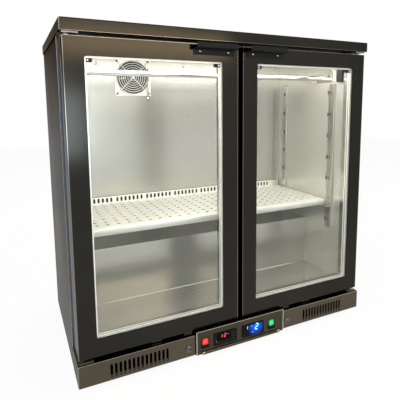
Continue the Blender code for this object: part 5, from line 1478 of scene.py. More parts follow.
@dataclass
class PiercedShelf:
    """The lift-off shelf: a pierced sheet with a folded lip, and slots in the upstand behind.

    Attributes:
        sheet: sheet thickness.
        drawn: thickness that the sheet is drawn with, thinner because the holes' edges are ground.
        fold: radius of the folds, at the middle of the sheet.
        hole_radius: radius of a round hole.
        hole_pitch: distance between holes, both ways.
        columns: holes across.
        rows: holes from front to rear.
        first_row: distance of the first row from the front edge.
        block: half the side of the square that holds one hole.
        slot_width: width of a slot in the upstand.
        slot_height: height of a slot.
        slot_lift: height of the slots' middle above the shelf.
        rise: height of the upstand above the shelf.
        slot_pitch: distance between slots in a group.
        slot_group: slots in a group.
        group_pitch: distance between groups.
        groups: number of groups.
        slot_margin: sheet between a slot and the edge of its block.
        notch_half: half the width between the notches for the rear posts.
        notch_ends: y of the notches' front and rear edges.
        seam: flat sheet between the deck's rear edge and the rear fold.
        fold_lines: grid lines on a fold.
    """

    sheet: float = 0.0012
    drawn: float = 0.0007
    fold: float = 0.0012
    hole_radius: float = 0.0052
    hole_pitch: float = 0.0302
    columns: int = 27
    rows: int = 9
    first_row: float = 0.0355
    block: float = 0.0062
    slot_width: float = 0.007
    slot_height: float = 0.016
    slot_lift: float = 0.0125
    rise: float = 0.024
    slot_pitch: float = 0.0139
    slot_group: int = 7
    group_pitch: float = 0.1038
    groups: int = 7
    slot_margin: float = 0.0012
    notch_half: float = 0.4015
    notch_ends: Pair = (0.1125, 0.1455)
    seam: float = 0.0008
    fold_lines: int = 4

    def folded(self, v: np.ndarray) -> tuple[np.ndarray, np.ndarray]:
        """The shelf's side view: up the lip, round the fold, back along the sheet and up again.

        A quarter turn of radius r covers v = pi r / 2, and between the turns v runs straight.

        Args:
            v: lengths along the flat sheet, from the lip's lower edge.

        Returns:
            The y and the z of each length.
        """
        (low, high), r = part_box("shelf"), self.fold
        half = self.sheet / 2
        front, back = low[1] + half, high[1] - half
        level = self.top() - half
        stops = np.cumsum([level - r - low[2], self.turn(), back - front - 2 * r, self.turn()])
        first = np.clip((v - stops[0]) / r, 0, math.pi / 2)
        last = np.clip((v - stops[2]) / r, 0, math.pi / 2)
        flat = np.clip(v - stops[1], 0, stops[2] - stops[1])
        y = front + r * (1 - np.cos(first)) + flat + r * np.sin(last)
        z = np.minimum(low[2] + v, level - r) + r * np.sin(first) + r * (1 - np.cos(last))
        return y, z + np.clip(v - stops[3], 0, None)

    def turn(self) -> float:
        """The length of sheet in a fold: a quarter of a circle."""
        return math.pi * self.fold / 2

    def top(self) -> float:
        """The height of the shelf's upper face: the upstand's top less its rise."""
        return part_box("shelf")[1][2] - self.rise

    def flat_start(self) -> float:
        """The length at which the flat sheet starts, after the lip and its fold."""
        return self.top() - self.sheet / 2 - self.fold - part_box("shelf")[0][2] + self.turn()

    def flat_end(self) -> float:
        """The length at which the flat sheet ends, before the upstand's fold."""
        low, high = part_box("shelf")
        return self.flat_start() + high[1] - low[1] - self.sheet - 2 * self.fold

    def deck(self) -> Surface:
        """Lays out the lip and the pierced sheet, flat: round holes in square blocks of a grid.

        Returns:
            The sheet, its second coordinate the length from the lip's lower edge.
        """
        low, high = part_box("shelf")
        half = high[0] - self.sheet / 2
        start = self.flat_start()
        offset = start - (low[1] + self.sheet / 2 + self.fold)
        across = (np.arange(self.columns) - (self.columns - 1) / 2) * self.hole_pitch
        along = low[1] + self.first_row + np.arange(self.rows) * self.hole_pitch
        ends = np.array(self.notch_ends)
        xs = np.concatenate([
            [-half, -self.notch_half], block_lines(across, self.block), [self.notch_half, half]])
        vs = np.unique(np.round(np.concatenate([
            [0.0], np.linspace(start - self.turn(), start, self.fold_lines),
            block_lines(along, self.block) + offset, ends + offset, [self.flat_end() - self.seam]]), 7))
        columns = np.searchsorted(xs, across - self.block - WELD)
        rows = np.searchsorted(vs, along - self.block + offset - WELD)
        cells = np.stack(np.meshgrid(columns, rows, indexing="ij"), axis=-1).reshape(-1, 2)
        middles = np.stack(np.meshgrid(across, along + offset, indexing="ij"), axis=-1).reshape(-1, 1, 2)
        x_mid = (xs[:-1] + xs[1:])[:, None] / 2
        v_mid = (vs[:-1] + vs[1:])[None, :] / 2 - offset
        gone = (abs(x_mid) > self.notch_half) & (v_mid > ends[0]) & (v_mid < ends[1])
        return pierced(xs, vs, cells, middles + self.hole_radius * opening_circle()[None, :, :], gone)

    def upstand(self) -> Surface:
        """Lays out the rear fold and the slotted upstand, flat: tall slots in blocks of a grid.

        Returns:
            The sheet, its second coordinate the length from the lip's lower edge.
        """
        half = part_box("shelf")[1][0] - self.sheet / 2
        group = (np.arange(self.groups) - (self.groups - 1) / 2) * self.group_pitch
        slot = (np.arange(self.slot_group) - (self.slot_group - 1) / 2) * self.slot_pitch
        across = (group[:, None] + slot[None, :]).ravel()
        half_width = self.slot_width / 2 + self.slot_margin
        half_height = self.slot_height / 2 + self.slot_margin
        start = self.flat_end()
        base = start + self.turn() - self.sheet / 2 - self.fold
        below = np.concatenate([
            [start - self.seam], np.linspace(start, start + self.turn(), self.fold_lines)])
        xs = np.concatenate([[-half], block_lines(across, half_width), [half]])
        vs = np.concatenate([
            below, block_lines(np.array([base + self.slot_lift]), half_height), [base + self.rise]])
        columns = np.searchsorted(xs, across - half_width - WELD)
        cells = np.column_stack([columns, np.full(len(columns), len(below))])
        middles = np.column_stack([across, np.full(len(across), base + self.slot_lift)])[:, None, :]
        gone = np.zeros((len(xs) - 1, len(vs) - 1), dtype=bool)
        return pierced(xs, vs, cells, middles + self.slot_outline()[None, :, :], gone)

    def slot_outline(self) -> np.ndarray:
        """A slot's edge: a circle whose upper and lower halves are moved apart.

        Returns:
            The points about the slot's middle; the two level ones stay halfway.
        """
        circle = opening_circle()
        apart = np.round(circle[:, 1], 6)
        stretch = np.sign(apart) * (self.slot_height - self.slot_width) / 2
        return circle * self.slot_width / 2 + np.column_stack([np.zeros(len(stretch)), stretch])

    def side_lip(self) -> Surface:
        """The right side's lip: an upright strip along the shelf's side edge and round the notch.

        Returns:
            The strip as an open sheet.
        """
        low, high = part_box("shelf")
        half = high[0] - self.sheet / 2
        front, back = low[1] + self.sheet, high[1] - self.sheet
        first, last = self.notch_ends
        route = [
            (half, front), (half, first), (self.notch_half, first), (self.notch_half, last),
            (half, last), (half, back)]
        levels = (low[2], self.top() - self.sheet / 2)
        return grid(np.array([[(x, y, z) for z in levels] for x, y in route]))

    def build(self) -> None:
        """Folds the flat sheets, adds the side lips and stands in for the CAD shelf."""
        parts = []
        for flat in (self.deck(), self.upstand()):
            y, z = self.folded(flat.points[:, 1])
            parts.append(Surface(np.column_stack([flat.points[:, 0], y, z]), flat.faces))
        lip = self.side_lip()
        shelf = add_piece(
            "pierced_shelf", joined([*parts, lip, lip.mirrored()]), SHELF_STEEL,
            Fit("brushed_steel", "lift_off_shelf", wall=self.drawn))
        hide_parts("shelf")


@dataclass
class HangingRail:
    """The rail, its brackets and the two S-hooks.

    Attributes:
        wire: the hook wire's radius.
        crook: radius of the bend over the rail, at the wire's middle.
        crook_ends: directions at which that bend starts and ends, in degrees.
        shank: length of the straight part.
        bowl: radius of the lower bend.
        point: length over which the wire narrows to its point.
        butt: length over which its other end is rounded.
        plate: thickness of a bracket's wall plate.
        screw: radius and height of a bracket screw's head.
        screw_spacing: distance between a bracket's screws.
    """

    wire: float = 0.0022
    crook: float = 0.0111
    crook_ends: Pair = (200.0, -30.0)
    shank: float = 0.058
    bowl: float = 0.013
    point: float = 0.014
    butt: float = 0.00264
    plate: float = 0.0025
    screw: Pair = (0.0048, 0.0024)
    screw_spacing: float = 0.100

    def hook(self, x: float, y: float, z: float) -> Surface:
        """An S-hook: an arc over the rail, a straight shank and a half circle, in one plane.

        Args:
            x: the hook's place along the rail.
            y: the rail's middle line.
            z: the rail's middle height.

        Returns:
            The wire, narrowed at both ends.
        """
        over = np.radians(np.linspace(*self.crook_ends, 24))
        arc = self.crook * np.stack([np.cos(over), np.sin(over)], axis=-1)
        low = arc[-1] - np.array((0, self.shank))
        shank = arc[-1] + np.linspace(0, 1, 12)[1:, None] * (low - arc[-1])
        under = np.radians(np.linspace(0, -180, 22))
        centre = low - np.array((self.bowl, 0))
        bowl = centre + self.bowl * np.stack([np.cos(under), np.sin(under)], axis=-1)
        tip = bowl[-1] + np.linspace(0, 1, 8)[1:, None] * np.array((0, self.bowl))
        plan = np.vstack([arc, shank, bowl[1:], tip])
        path = np.column_stack([np.full(len(plan), x), plan[:, 0] + y, plan[:, 1] + z])
        run = np.concatenate([[0], np.cumsum(np.linalg.norm(np.diff(path, axis=0), axis=1))])
        share = np.minimum((run[-1] - run) / self.point, run / self.butt)
        radius = self.wire * np.sqrt(np.clip(share, 0, 1))
        return tube(path, radius, (1.0, 0.0, 0.0), 14)

    def build(self) -> None:
        """Dresses the rail and brackets and adds hooks and screws."""
        dress(RAIL_STEEL, "hanging_rail")
        middle = middle_of("hanging_rail")
        heads = []
        for side in Side:
            node, bracket = side.of("meat_hook"), side.of("rail_bracket")
            dress(RAIL_STEEL, bracket)
            hook = add_piece(
                f"{side.of('hook')}_bent_wire", self.hook(middle_of(node)[0], middle[1], middle[2]),
                CHROME, Fit("bright_steel", side.of("hook"), smooth=60))
            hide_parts(node)
            low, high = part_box(bracket)
            wall, facing = (
                (high[0] - self.plate, Facing.LEFT) if side is Side.RIGHT
                else (low[0] + self.plate, Facing.RIGHT))
            places = [
                (wall, middle[1] + offset * self.screw_spacing, (low[2] + high[2]) / 2)
                for offset in (-0.5, 0.5)]
            heads.append(screws(self.screw, places, facing))
        add_piece("rail_bracket_screws", joined(heads), DARK_STEEL, Fit("bright_steel"))


@dataclass
class LightBar:
    """The light bar below the ceiling with its lit diffuser.

    Attributes:
        diffuser: width, corner, thickness and rim of the diffuser.
        below: distance of the diffuser's back from the bar's top.
        behind: distance of its middle line from the bar's front.
        margin: bar left free at each end.
        block: length of an end block.
    """

    diffuser: Sizes = (0.012, 0.002, 0.0025, 0.0015)
    below: float = 0.018
    behind: float = 0.009
    margin: float = 0.016
    block: float = 0.0145

    def build(self) -> None:
        """Dresses the bar and adds the diffuser under it."""
        low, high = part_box("light_bar")
        dress(CappedChannel("white_lacquered_light_channel", high[0] - self.block), "light_bar")
        shape = (high[0] - low[0] - 2 * self.margin, *self.diffuser)
        strip = pads(shape, [(0, low[1] + self.behind, high[2] - self.below)], Facing.DOWN)
        add_piece("light_strip_diffuser", strip, STRIP_LIGHT, Fit("glass"))


@dataclass
class CirculationFan:
    """The fan in the duct panel: housing, bladed rotor, wire guard and four screws.

    Attributes:
        blades: number of blades.
        hub_radius: radius of the hub.
        tip_radius: radius at the blade tips.
        root: how far a blade reaches into the hub.
        depth: the rotor's depth.
        blade_sheet: thickness of a blade.
        chord: half the angle that a blade covers, at its root and at its tip, in degrees.
        lean: how far the tip is ahead of the root, in degrees.
        flatter: how much less than the root the tip rises.
        bow: how far the chord is bowed.
        wire: radius of the guard's wires.
        rings: number of guard rings.
        ring_outer: radius of the largest ring.
        ring_pitch: distance between rings.
        spoke_back: how far a spoke lies behind the rings, in wire radii.
        spoke_gap: distance of a spoke's end from its screw.
        plate_radius: radius of the guard's middle plate.
        screw: radius and height of a screw's head.
        screw_spacing: distance between two screws.
    """

    blades: int = 7
    hub_radius: float = 0.021
    tip_radius: float = 0.0530
    root: float = 0.0012
    depth: float = 0.016
    blade_sheet: float = 0.0014
    chord: Pair = (17.0, 23.0)
    lean: float = 12.0
    flatter: float = 0.0018
    bow: float = 0.0016
    wire: float = 0.0014
    rings: int = 7
    ring_outer: float = 0.0545
    ring_pitch: float = 0.0073
    spoke_back: float = 1.4
    spoke_gap: float = 0.002
    plate_radius: float = 0.0060
    screw: Pair = (0.0036, 0.0024)
    screw_spacing: float = 0.105

    def blade_set(self) -> Surface:
        """Twisted blades: at radius r and chord place c a point turns by c and rises against it.

        The rise falls from root to tip, and the chord is bowed by 1 - c^2, as an axial blade is.

        Returns:
            All blades as open sheets about the outward axis.
        """
        r = np.linspace(self.hub_radius - self.root, self.tip_radius, 9)[:, None]
        c = np.linspace(-1, 1, 9)[None, :]
        share = (r - self.hub_radius) / (self.tip_radius - self.hub_radius)
        narrow, wide = self.chord
        sweep = np.radians(narrow + (wide - narrow) * share) * c + np.radians(self.lean) * share
        rise = -c * (self.depth * 0.44 - self.flatter * share) + self.bow * (1 - c ** 2)
        turn = np.arange(self.blades)[:, None, None] * (2 * math.pi / self.blades)
        angle = sweep[None, :, :] + turn
        radius = np.broadcast_to(r[None, :, :], angle.shape)
        height = np.broadcast_to(rise[None, :, :], angle.shape)
        points = np.stack([radius * np.cos(angle), radius * np.sin(angle), height], axis=-1)
        return joined([grid(blade) for blade in points])

    def hub(self) -> Surface:
        """The hub: a turned cup with a bevelled foot and a rounded cap."""
        r, half = self.hub_radius, self.depth / 2
        return turned([
            (0, -half), (r * 0.92, -half), (r, -half + 0.002), (r, half - 0.003),
            (r * 0.93, half - 0.0008), (r * 0.8, half), (0, half)], 40)

    def guard(self) -> Surface:
        """The wire guard: round rings, four spokes behind them and a pressed plate in the middle.

        Returns:
            The guard about the outward axis, its rings on the plane through the origin.
        """
        steps, sides = 48, 8
        turn = np.arange(steps) * (2 * math.pi / steps)
        circle = np.stack([np.cos(turn), np.sin(turn), np.zeros(steps)], axis=-1)
        out = (0.0, 0.0, 1.0)
        parts = [
            tube(circle * radius, np.full(steps, self.wire), out, sides, closed=True)
            for radius in self.ring_outer - np.arange(self.rings) * self.ring_pitch]
        reach = self.screw_spacing / math.sqrt(2) - self.spoke_gap
        stations = reach * np.array([0.0, 0.001, 0.6, 0.999, 1.0])
        radius = self.wire * np.array([0.0, 1.0, 1.0, 1.0, 0.0])
        for angle in np.radians([45, 135, 225, 315]):
            way = np.array((math.cos(angle), math.sin(angle), 0.0))
            path = stations[:, None] * way[None, :] - np.array(out) * self.wire * self.spoke_back
            parts.append(tube(path, radius, out, sides))
        plate = turned([
            (self.plate_radius * share, rise) for share, rise in (
                (0, -0.0005), (0.96, -0.0005), (1, 0.0002), (0.9, 0.0009), (0.5, 0.0011), (0, 0.0012))
            ], 32)
        return joined([*parts, plate])

    def build(self) -> None:
        """Dresses the housing and stands in for the CAD rotor and guard."""
        dress(CAST_FRAME, "fan_housing")
        grille = middle_of("fan_grille")
        rotor = middle_of("fan_rotor")
        blades = add_piece(
            "fan_blades", self.blade_set().placed(rotor), ROTOR_PLASTIC,
            Fit("black_plastic", "circulation_rotor", wall=self.blade_sheet, smooth=70))
        add_piece(
            "fan_hub", self.hub().placed(rotor), ROTOR_PLASTIC,
            Fit("black_plastic", "circulation_rotor"))
        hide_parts("fan_rotor")
        guard = add_piece(
            "fan_wire_guard", self.guard().placed(grille), GUARD_WIRE,
            Fit("bright_steel", smooth=60))
        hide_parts("fan_grille")
        half = self.screw_spacing / 2
        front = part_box("fan_housing")[0][1]
        places = [(grille[0] + x * half, front, grille[2] + z * half) for x in (-1, 1) for z in (-1, 1)]
        add_piece(
            "fan_screws", screws(self.screw, places), BLACK_COAT, Fit("bright_steel"))


@dataclass
class GlazedDoor:
    """One door: black mirror frame, two panes, spacer bar, gasket, pull and its screws.

    Attributes:
        side: which door it is.
        lap: how far the frame's inner sheet begins in front of the inner pane's face.
        pull_plate: thickness of the pull's plate, which the screws hold.
        screw: radius and height of a pull screw's head.
        screw_spacing: distance between the pull's screws.
        screw_lift: height of the screws above the pull's lower edge.
        key: width and height of a corner key between the panes.
        key_rim: corner radius and rim radius of a key.
        key_gap: its clearance to the panes and to the spacer's face.
        spacer_face: width of the spacer bar's face.
        eye: radius and height of the plug in a corner key's filling hole.
        eye_offset: distance of the plug from the key's middle, towards the corner.
    """

    side: Side
    lap: float = 0.001
    pull_plate: float = 0.0021
    screw: Pair = (0.0032, 0.0013)
    screw_spacing: float = 0.080
    screw_lift: float = 0.0100
    key: Pair = (0.014, 0.008)
    key_rim: Pair = (0.001, 0.0004)
    key_gap: float = 0.0004
    spacer_face: float = 0.0100
    eye: Pair = (0.0022, 0.0003)
    eye_offset: float = 0.003

    def build(self) -> None:
        """Dresses the door and adds the pull's screws and the corner keys."""
        frame, inner, spacer, pull = (
            self.side.of(name) for name in ("door_frame", "door_glass_inner", "glazing_spacer", "door_pull"))
        lined = replace(BLACK_MIRROR, lining_from=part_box(inner)[1][1] - self.lap)
        dress(lined.over(frame), frame)
        dress(GLASS, self.side.of("door_glass_outer"), inner)
        dress(SpacerBar("perforated_aluminium_spacer", float(middle_of(spacer)[1])), spacer)
        dress(GASKET, self.side.of("door_gasket"))
        dress(BLACK_COAT, pull)
        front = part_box(frame)[0][1] - self.pull_plate
        centre = middle_of(pull)[0]
        places = [
            (centre + sign * self.screw_spacing / 2, front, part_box(pull)[0][2] + self.screw_lift)
            for sign in (-1, 1)]
        add_piece(
            self.side.of("door_pull_screws"), screws(self.screw, places), SCREW_STEEL,
            Fit("bright_steel", self.side.of("door")))
        self.keys(spacer)

    def keys(self, spacer: str) -> None:
        """Adds the black corner keys at the top of the spacer, each with its sealed filling hole.

        Args:
            spacer: the spacer's node.
        """
        low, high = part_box(spacer)
        width, height = self.key
        corner, rim = self.key_rim
        front, rear = low[1] + self.key_gap, high[1] - self.key_gap
        inset = self.spacer_face + self.key_gap
        level = high[2] - inset - height / 2
        ends = ((low[0] + inset + width / 2, 1), (high[0] - inset - width / 2, -1))
        blocks = pads((width, height, corner, rear - front, rim), [(x, rear, level) for x, _ in ends])
        eyes = screws(self.eye, [(x - way * self.eye_offset, front, level) for x, way in ends])
        body = self.side.of("door")
        add_piece(
            self.side.of("spacer_corner_keys"), blocks, BLACK_PLASTIC, Fit("black_plastic", body))
        add_piece(self.side.of("spacer_filling_plugs"), eyes, SHELF_STEEL, Fit("bright_steel", body))


@dataclass
class Hinges:
    """The four door hinges."""

    def build(self) -> None:
        """Dresses the hinges."""
        dress(HINGE_STEEL, *(side.of(f"hinge_{end}") for end in ("top", "bottom") for side in Side))


@dataclass
class ControlModule:
    """The control housing with two lit rockers and two controllers.

    Sizes of keys, lamps, marks and panes are width, height, corner radius, thickness and rim radius.
    Places are x and the height above a controller's middle.

    Attributes:
        rim: corner radius, width and thickness of a controller's raised rim.
        rim_gap: how much smaller than the controller the rim is.
        pane: corner radius, thickness and rim radius of a window.
        stroke: width of a digit's stroke, as a share of its height.
        slant: how far a digit leans, as a share of its height.
        relief: how far a digit stands out.
        screw: radius of a sill screw's head, which is half as high.
        sill_half: distance of the sill screws from the middle.
        sill_reach: how far the sill stands out of the housing's face.
        lamp: how far a rocker's lamp is in front of the rocker's middle and above it.
        lens_half: half the width and height of a rocker's lens.
        glow_reach: distance over which a rocker's glow fades.
        glow: how bright a rocker is.
    """

    rim: Sizes = (0.002, 0.0018, 0.0010)
    rim_gap: float = 0.0006
    pane: Sizes = (0.001, 0.0007, 0.0003)
    stroke: float = 0.15
    slant: float = 0.08
    relief: float = 0.0004
    screw: float = 0.0042
    sill_half: float = 0.1225
    sill_reach: float = 0.005
    lamp: Pair = (0.006, 0.0035)
    lens_half: Pair = (0.0090, 0.0088)
    glow_reach: float = 0.013
    glow: float = 0.6

    # The bars of each digit, and each bar's middle and whether it is upright, in digit heights
    SEGMENTS = {"1": "bc", "2": "abged"}
    PLACES = {
        "a": (0.25, 1.0, False), "b": (0.5, 0.75, True), "c": (0.5, 0.25, True),
        "d": (0.25, 0.0, False), "e": (0.0, 0.25, True), "g": (0.25, 0.5, False)}
    ROCKERS = {"red": ("#8a1008", "#ff5a48"), "green": ("#0a6a35", "#4fe88c")}

    # Windows: x, height above the middle, width and height
    TEMPERATURE_WINDOW = (-0.0600, 0.005, 0.044, 0.0205)
    HUMIDITY_WINDOW = (0.0351, 0.0, 0.067, 0.0335)

    # Digits: the number, its height and its place
    TEMPERATURE_DIGITS = (("1", 0.0095, -0.0712, 0.0080), ("2", 0.0095, -0.0597, 0.0080))
    HUMIDITY_DIGITS = (("1", 0.0090, 0.0112, 0.0100), ("2", 0.0170, 0.0418, 0.0075))

    POINT_LAMP = (0.0024, 0.0014, 0.0006, 0.0004, 0.0002)
    LAMP_PLACES = ((-0.0468, 0.0098), (-0.0835, -0.0046))
    MARK = (0.0036, 0.0010, 0.0004, 0.0003, 0.0001)
    MARK_PLACES = ((0.0290, 0.0125), (0.0330, -0.0070))
    SMALL_KEY = (0.0062, 0.0046, 0.0014, 0.0009, 0.0005)
    SMALL_KEY_PLACES = ((-0.0318, 0.0085), (-0.0318, 0.0005), (-0.0235, 0.0085), (-0.0235, 0.0005))
    LONG_KEY = (0.0085, 0.0040, 0.0014, 0.0009, 0.0005)
    LONG_KEY_PLACES = ((-0.0785, -0.0115), (-0.0665, -0.0115), (-0.0545, -0.0115), (-0.0275, -0.0115))

    # The blue window's lamp: x and height above the middle, the reach of its glow and its strength
    BLUE_LAMP = (0.044, 0.0085, 0.030, 0.62)

    def digit(self, character: str, height: float) -> Surface:
        """A seven-segment digit: six-sided bars, upright or level, leaned by slant times height.

        Args:
            character: the digit.
            height: its height.

        Returns:
            The lit bars, their backs on the plane through the origin.
        """
        half, tip, pen = 0.235, 0.215, self.stroke / 2
        bar = np.array([
            (-tip, 0), (-half + pen, -pen), (half - pen, -pen), (tip, 0), (half - pen, pen),
            (-half + pen, pen)])
        parts = []
        for name in self.SEGMENTS[character]:
            x, y, upright = self.PLACES[name]
            shape = bar[:, ::-1] * np.array((-1, 1)) if upright else bar
            flat = (shape + np.array((x, y - 0.5))) * height
            flat[:, 0] += flat[:, 1] * self.slant
            parts.append(stacked(np.stack([
                np.column_stack([flat, np.full(len(flat), level)]) for level in (0.0, self.relief)])))
        return joined(parts)

    def controller(self, name: str, window: Sizes, finish: Finish) -> float:
        """Adds a controller's rim and window.

        Args:
            name: the controller's node.
            window: the window's x, its height above the middle, its width and its height.
            finish: the window's finish.

        Returns:
            The y of the window's face.
        """
        dress(BLACK_PLASTIC, name)
        low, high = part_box(name)
        middle = middle_of(name)
        corner, band, thickness = self.rim
        rim = frame_rim(
            high[0] - low[0] - self.rim_gap, high[2] - low[2] - self.rim_gap, corner, band, thickness)
        add_piece(
            f"{name}_rim", rim.placed((middle[0], low[1], middle[2])), BLACK_PLASTIC,
            Fit("black_plastic"))
        x, lift, width, height = window
        pane = pads((width, height, *self.pane), [(x, low[1], middle[2] + lift)])
        add_piece(f"{name}_window", pane, finish, Fit("glass"))
        return low[1] - self.pane[1]

    def build(self) -> None:
        """Dresses the module and adds rims, windows, digits, keys and marks."""
        dress(BRONZE.over("control_housing", front=self.sill_reach), "control_housing")
        self.temperature()
        self.humidity()
        for word, (deep, bright) in self.ROCKERS.items():
            x, y, z = middle_of(f"rocker_{word}").tolist()
            lens = LitLens(
                f"{word}_rocker_lens", deep, bright, (x, y - self.lamp[0], z + self.lamp[1]),
                self.glow_reach, self.glow, self.lens_half)
            dress(lens, f"rocker_{word}")
        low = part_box("control_housing")[0]
        places = [
            (x, low[1] + self.screw / 2, low[2] + self.screw) for x in (-self.sill_half, self.sill_half)]
        add_piece(
            "housing_sill_screws", screws((self.screw, self.screw / 2), places), SCREW_STEEL,
            Fit("bright_steel"))

    def temperature(self) -> None:
        """The left controller: red digits, two point lamps and eight small keys."""
        name = "controller_temperature"
        front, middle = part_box(name)[0][1], middle_of(name)[2]
        face = self.controller(name, self.TEMPERATURE_WINDOW, WINDOW)
        digits = [
            self.digit(character, height).placed((x, face, middle + lift))
            for character, height, x, lift in self.TEMPERATURE_DIGITS]
        add_piece("temperature_digits", joined(digits), RED_SEGMENT, Fit("red_lens"))
        lamps = pads(self.POINT_LAMP, [(x, face, middle + lift) for x, lift in self.LAMP_PLACES])
        add_piece("temperature_lamp", lamps, RED_SEGMENT, Fit("red_lens"))
        keys = [
            pads(shape, [(x, front, middle + lift) for x, lift in places])
            for shape, places in (
                (self.SMALL_KEY, self.SMALL_KEY_PLACES), (self.LONG_KEY, self.LONG_KEY_PLACES))]
        add_piece("temperature_keys", joined(keys), DARK_PLASTIC, Fit("black_plastic"))

    def humidity(self) -> None:
        """The right controller: a blue lit window with pale digits and two marks."""
        name = "controller_humidity"
        front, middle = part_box(name)[0][1], middle_of(name)[2]
        x, lift, reach, strength = self.BLUE_LAMP
        blue = LitLens(
            "blue_backlit_window", "#010308", "#0d55e0", (x, front, middle + lift), reach, strength)
        face = self.controller(name, self.HUMIDITY_WINDOW, blue)
        digits = [
            self.digit(character, height).placed((x, face, middle + lift))
            for character, height, x, lift in self.HUMIDITY_DIGITS]
        add_piece("humidity_digits", joined(digits), BLUE_SEGMENT, Fit("glass"))
        marks = pads(self.MARK, [(x, face, middle + lift) for x, lift in self.MARK_PLACES])
        add_piece("humidity_marks", marks, BLUE_SEGMENT, Fit("glass"))


@dataclass
class KeyLocks:
    """The two cam locks in the kick panel, each with its turning plug and keyway.

    Attributes:
        reach: distance of a lock's axis from the middle.
        plug: radius of the plug.
        rise: how far the plug stands out of the lock's face.
        keyway: width, height, corner, thickness and rim of the dark face of the keyway.
    """

    reach: float = 0.1611
    plug: float = 0.0064
    rise: float = 0.0006
    keyway: Sizes = (0.0018, 0.0072, 0.0008, 0.0003, 0.0001)

    def build(self) -> None:
        """Dresses the locks and adds plugs and keyways."""
        profile = [
            (0, -self.rise), (self.plug, -self.rise), (self.plug, self.rise / 2),
            (self.plug * 0.94, self.rise), (0, self.rise)]
        for side in Side:
            name, body = side.of("lock"), side.of("key_lock")
            dress(DARK_STEEL, name)
            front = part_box(name)[0][1]
            x, z = side.value * self.reach, middle_of(name)[2]
            add_piece(
                f"{name}_plug", turned(profile, 32).placed((x, front, z)), DARK_STEEL,
                Fit("bright_steel", body))
            add_piece(
                f"{name}_keyway", pads(self.keyway, [(x, front - self.rise, z)]), BLACK_COAT,
                Fit("black_metal", body))


@dataclass
class CoolingMachine:
    """Evaporator, compressor and condenser with its fan."""

    def build(self) -> None:
        """Dresses the hidden machinery."""
        dress(ALUMINIUM, "evaporator", "condenser")
        dress(BLACK_COAT, "compressor")
        dress(BLACK_PLASTIC, "condenser_fan")


# Studio

@dataclass(frozen=True)
class Lamp:
    """A soft area lamp.

    Attributes:
        name: the lamp's name.
        at: its place.
        towards: the point that it shines at.
        size: its width and height.
        power: its power in watts.
        colour: its colour.
    """

    name: str
    at: Point
    towards: Point
    size: Pair
    power: float
    colour: str

    def build(self) -> None:
        """Adds the lamp, its width level and its back away from the point that it shines at."""
        data = bpy.data.lights.new(self.name, "AREA")
        data.shape = "RECTANGLE"
        data.size, data.size_y = self.size
        data.energy = self.power
        data.color = linear(self.colour)[:3]
        back = np.array(self.at, dtype=float) - np.array(self.towards, dtype=float)
        back /= np.linalg.norm(back)
        side = np.cross(NEARLY_UP, back)
        side /= np.linalg.norm(side)
        stood(data, np.array([side, np.cross(back, side), back]), self.at)


# Up, tipped a little so that it is never parallel to a lamp that shines straight down
NEARLY_UP = (0.0, 0.001, 1.0)

LAMPS = (
    Lamp("key_lamp", (-1.6, -2.2, 2.6), (0, 0, 0.5), (1.6, 1.2), 26.0, "#fffaf2"),
    Lamp("warm_lamp", (0.35, -2.25, 1.125), (0.35, 0, 1.125), (1.3, 0.16), 5.0, "#f6dfbc"),
    Lamp("stile_lamp", (-0.29, -2.25, 0.56), (-0.29, 0, 0.56), (0.34, 0.44), 4.6, "#cfe2f2"),
    Lamp("strip_lamp", (-2.1, -1.5, 1.1), (0, 0, 0.5), (0.2, 1.7), 11.0, "#f4f8ff"),
    Lamp("fill_lamp", (2.8, -0.6, 2.4), (0, 0, 0.5), (1.8, 1.8), 18.0, "#f6f9ff"),
    Lamp("rear_lamp", (0.6, 2.6, 2.2), (0, 0, 0.5), (2.2, 1.4), 16.0, "#ffffff"),
    Lamp("ceiling_spill", (0, -0.06, 0.834), (0, 0.10, 0.70), (0.78, 0.07), 0.7, "#fffdf6"),
    Lamp("chamber_lamp", (0, -0.14, 0.815), (0, -0.14, 0.35), (0.78, 0.05), 1.7, "#fffdf6"))


def stood(data: bpy.types.Camera | bpy.types.Light, axes: np.ndarray, place: Point) -> bpy.types.Object:
    """Puts a camera or a lamp into the scene.

    Args:
        data: the camera's or the lamp's data.
        axes: its across, up and backward directions, one row each.
        place: its place.

    Returns:
        The object.
    """
    matrix = np.eye(4)
    matrix[:3, :3] = axes.T
    matrix[:3, 3] = place
    item = bpy.data.objects.new(data.name, data)
    item.matrix_world = Matrix(matrix.tolist())
    bpy.context.scene.collection.objects.link(item)
    return item


def staged(name: str, corners: list[Point], finish: Finish) -> None:
    """Adds a flat sheet of the studio, which isn't part of the object.

    Args:
        name: its name.
        corners: its corners in order.
        finish: its finish.
    """
    mesh = bpy.data.meshes.new(name)
    mesh.from_pydata(corners, [], [tuple(range(len(corners)))])
    mesh.materials.append(made(finish))
    item = bpy.data.objects.new(name, mesh)
    bpy.context.scene.collection.objects.link(item)


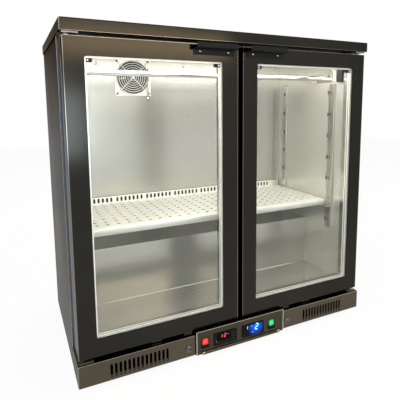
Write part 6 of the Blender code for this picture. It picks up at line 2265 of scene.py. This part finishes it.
@dataclass
class Studio:
    """The photograph's camera, a pale floor, soft lamps and a white surrounding.

    Attributes:
        place: the camera's place.
        yaw: how far it looks to the right of straight ahead, in degrees.
        pitch: how far it looks up, in degrees.
        roll: how far it is tipped, in degrees.
        lens: focal length in millimetres.
        sensor: the sensor's width in millimetres.
        shift: the frame's shift across and up.
        ambient: the surrounding's level for soft light.
        floor_half: half the floor's side.
        card_ends: x of the graded card's left and right edges.
        card_levels: height of its lower and upper edges.
        card_behind: its y, behind the object.
    """

    place: Point = (-0.5481, -1.2091, 0.6892)
    yaw: float = 26.966
    pitch: float = -7.477
    roll: float = -0.211
    lens: float = 36.96
    sensor: float = 36.0
    shift: Pair = (-0.0573, -0.1046)
    ambient: float = 0.45
    floor_half: float = 6.0
    card_ends: Pair = (-1.8, -0.50)
    card_levels: Pair = (0.01, 2.2)
    card_behind: float = 1.6

    def camera(self) -> None:
        """Sets the camera at the photograph's place and angle."""
        yaw, pitch, roll = (math.radians(angle) for angle in (self.yaw, self.pitch, self.roll))
        ahead = np.array((
            math.sin(yaw) * math.cos(pitch), math.cos(yaw) * math.cos(pitch), math.sin(pitch)))
        right = np.cross(ahead, (0, 0, 1))
        right /= np.linalg.norm(right)
        up = np.cross(right, ahead)
        across = math.cos(roll) * right + math.sin(roll) * up
        above = -math.sin(roll) * right + math.cos(roll) * up
        data = bpy.data.cameras.new("photo_camera")
        data.lens = self.lens
        data.sensor_width = self.sensor
        data.shift_x, data.shift_y = self.shift
        data.clip_start = 0.01
        bpy.context.scene.camera = stood(data, np.array([across, above, -ahead]), self.place)

    def surround(self) -> None:
        """Sets the world: white where it is seen, softer where it only lights."""
        world = bpy.data.worlds.new("pale_surround")
        bpy.context.scene.world = world
        world.use_nodes = True
        tree = world.node_tree
        tree.nodes.clear()
        soft, white = (
            add_node(
                tree, "ShaderNodeBackground",
                inputs={"Color": linear("#ffffff"), "Strength": strength}).outputs[0]
            for strength in (self.ambient, 1.0))
        mix = add_node(tree, "ShaderNodeMixShader", links={0: seen_white(tree), 1: soft, 2: white})
        add_node(tree, "ShaderNodeOutputWorld", links={"Surface": mix.outputs[0]})

    def sheets(self) -> None:
        """Adds the pale floor and the graded card behind the object, which only gloss sees.

        The side panel, seen at a grazing angle, mirrors the card's dim top.
        """
        half = self.floor_half
        staged(
            "studio_floor", [(-half, -half, 0), (half, -half, 0), (half, half, 0), (-half, half, 0)],
            FloorPaint("pale_floor_paint"))
        left, right = self.card_ends
        foot, top = self.card_levels
        staged(
            "studio_card", [(x, self.card_behind, z) for x, z in (
                (left, foot), (right, foot), (right, top), (left, top))], GradedCard("graded_card"))

    def build(self) -> None:
        """Sets camera, surrounding, floor, card and lamps."""
        bpy.context.scene.view_settings.view_transform = "Standard"
        self.camera()
        self.surround()
        self.sheets()
        for lamp in LAMPS:
            lamp.build()


def main() -> None:
    """Builds the object's looks, one sub-assembly after another, then the studio."""
    logging.basicConfig(level=logging.INFO, format="%(name)s: %(message)s")
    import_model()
    for assembly in (
            Casing(), Chamber(), PiercedShelf(), HangingRail(), LightBar(), CirculationFan(),
            GlazedDoor(Side.LEFT), GlazedDoor(Side.RIGHT), Hinges(), ControlModule(), KeyLocks(),
            CoolingMachine(), Studio()):
        LOG.info("building %s", type(assembly).__name__)
        assembly.build()


if __name__ == "__main__":
    main()
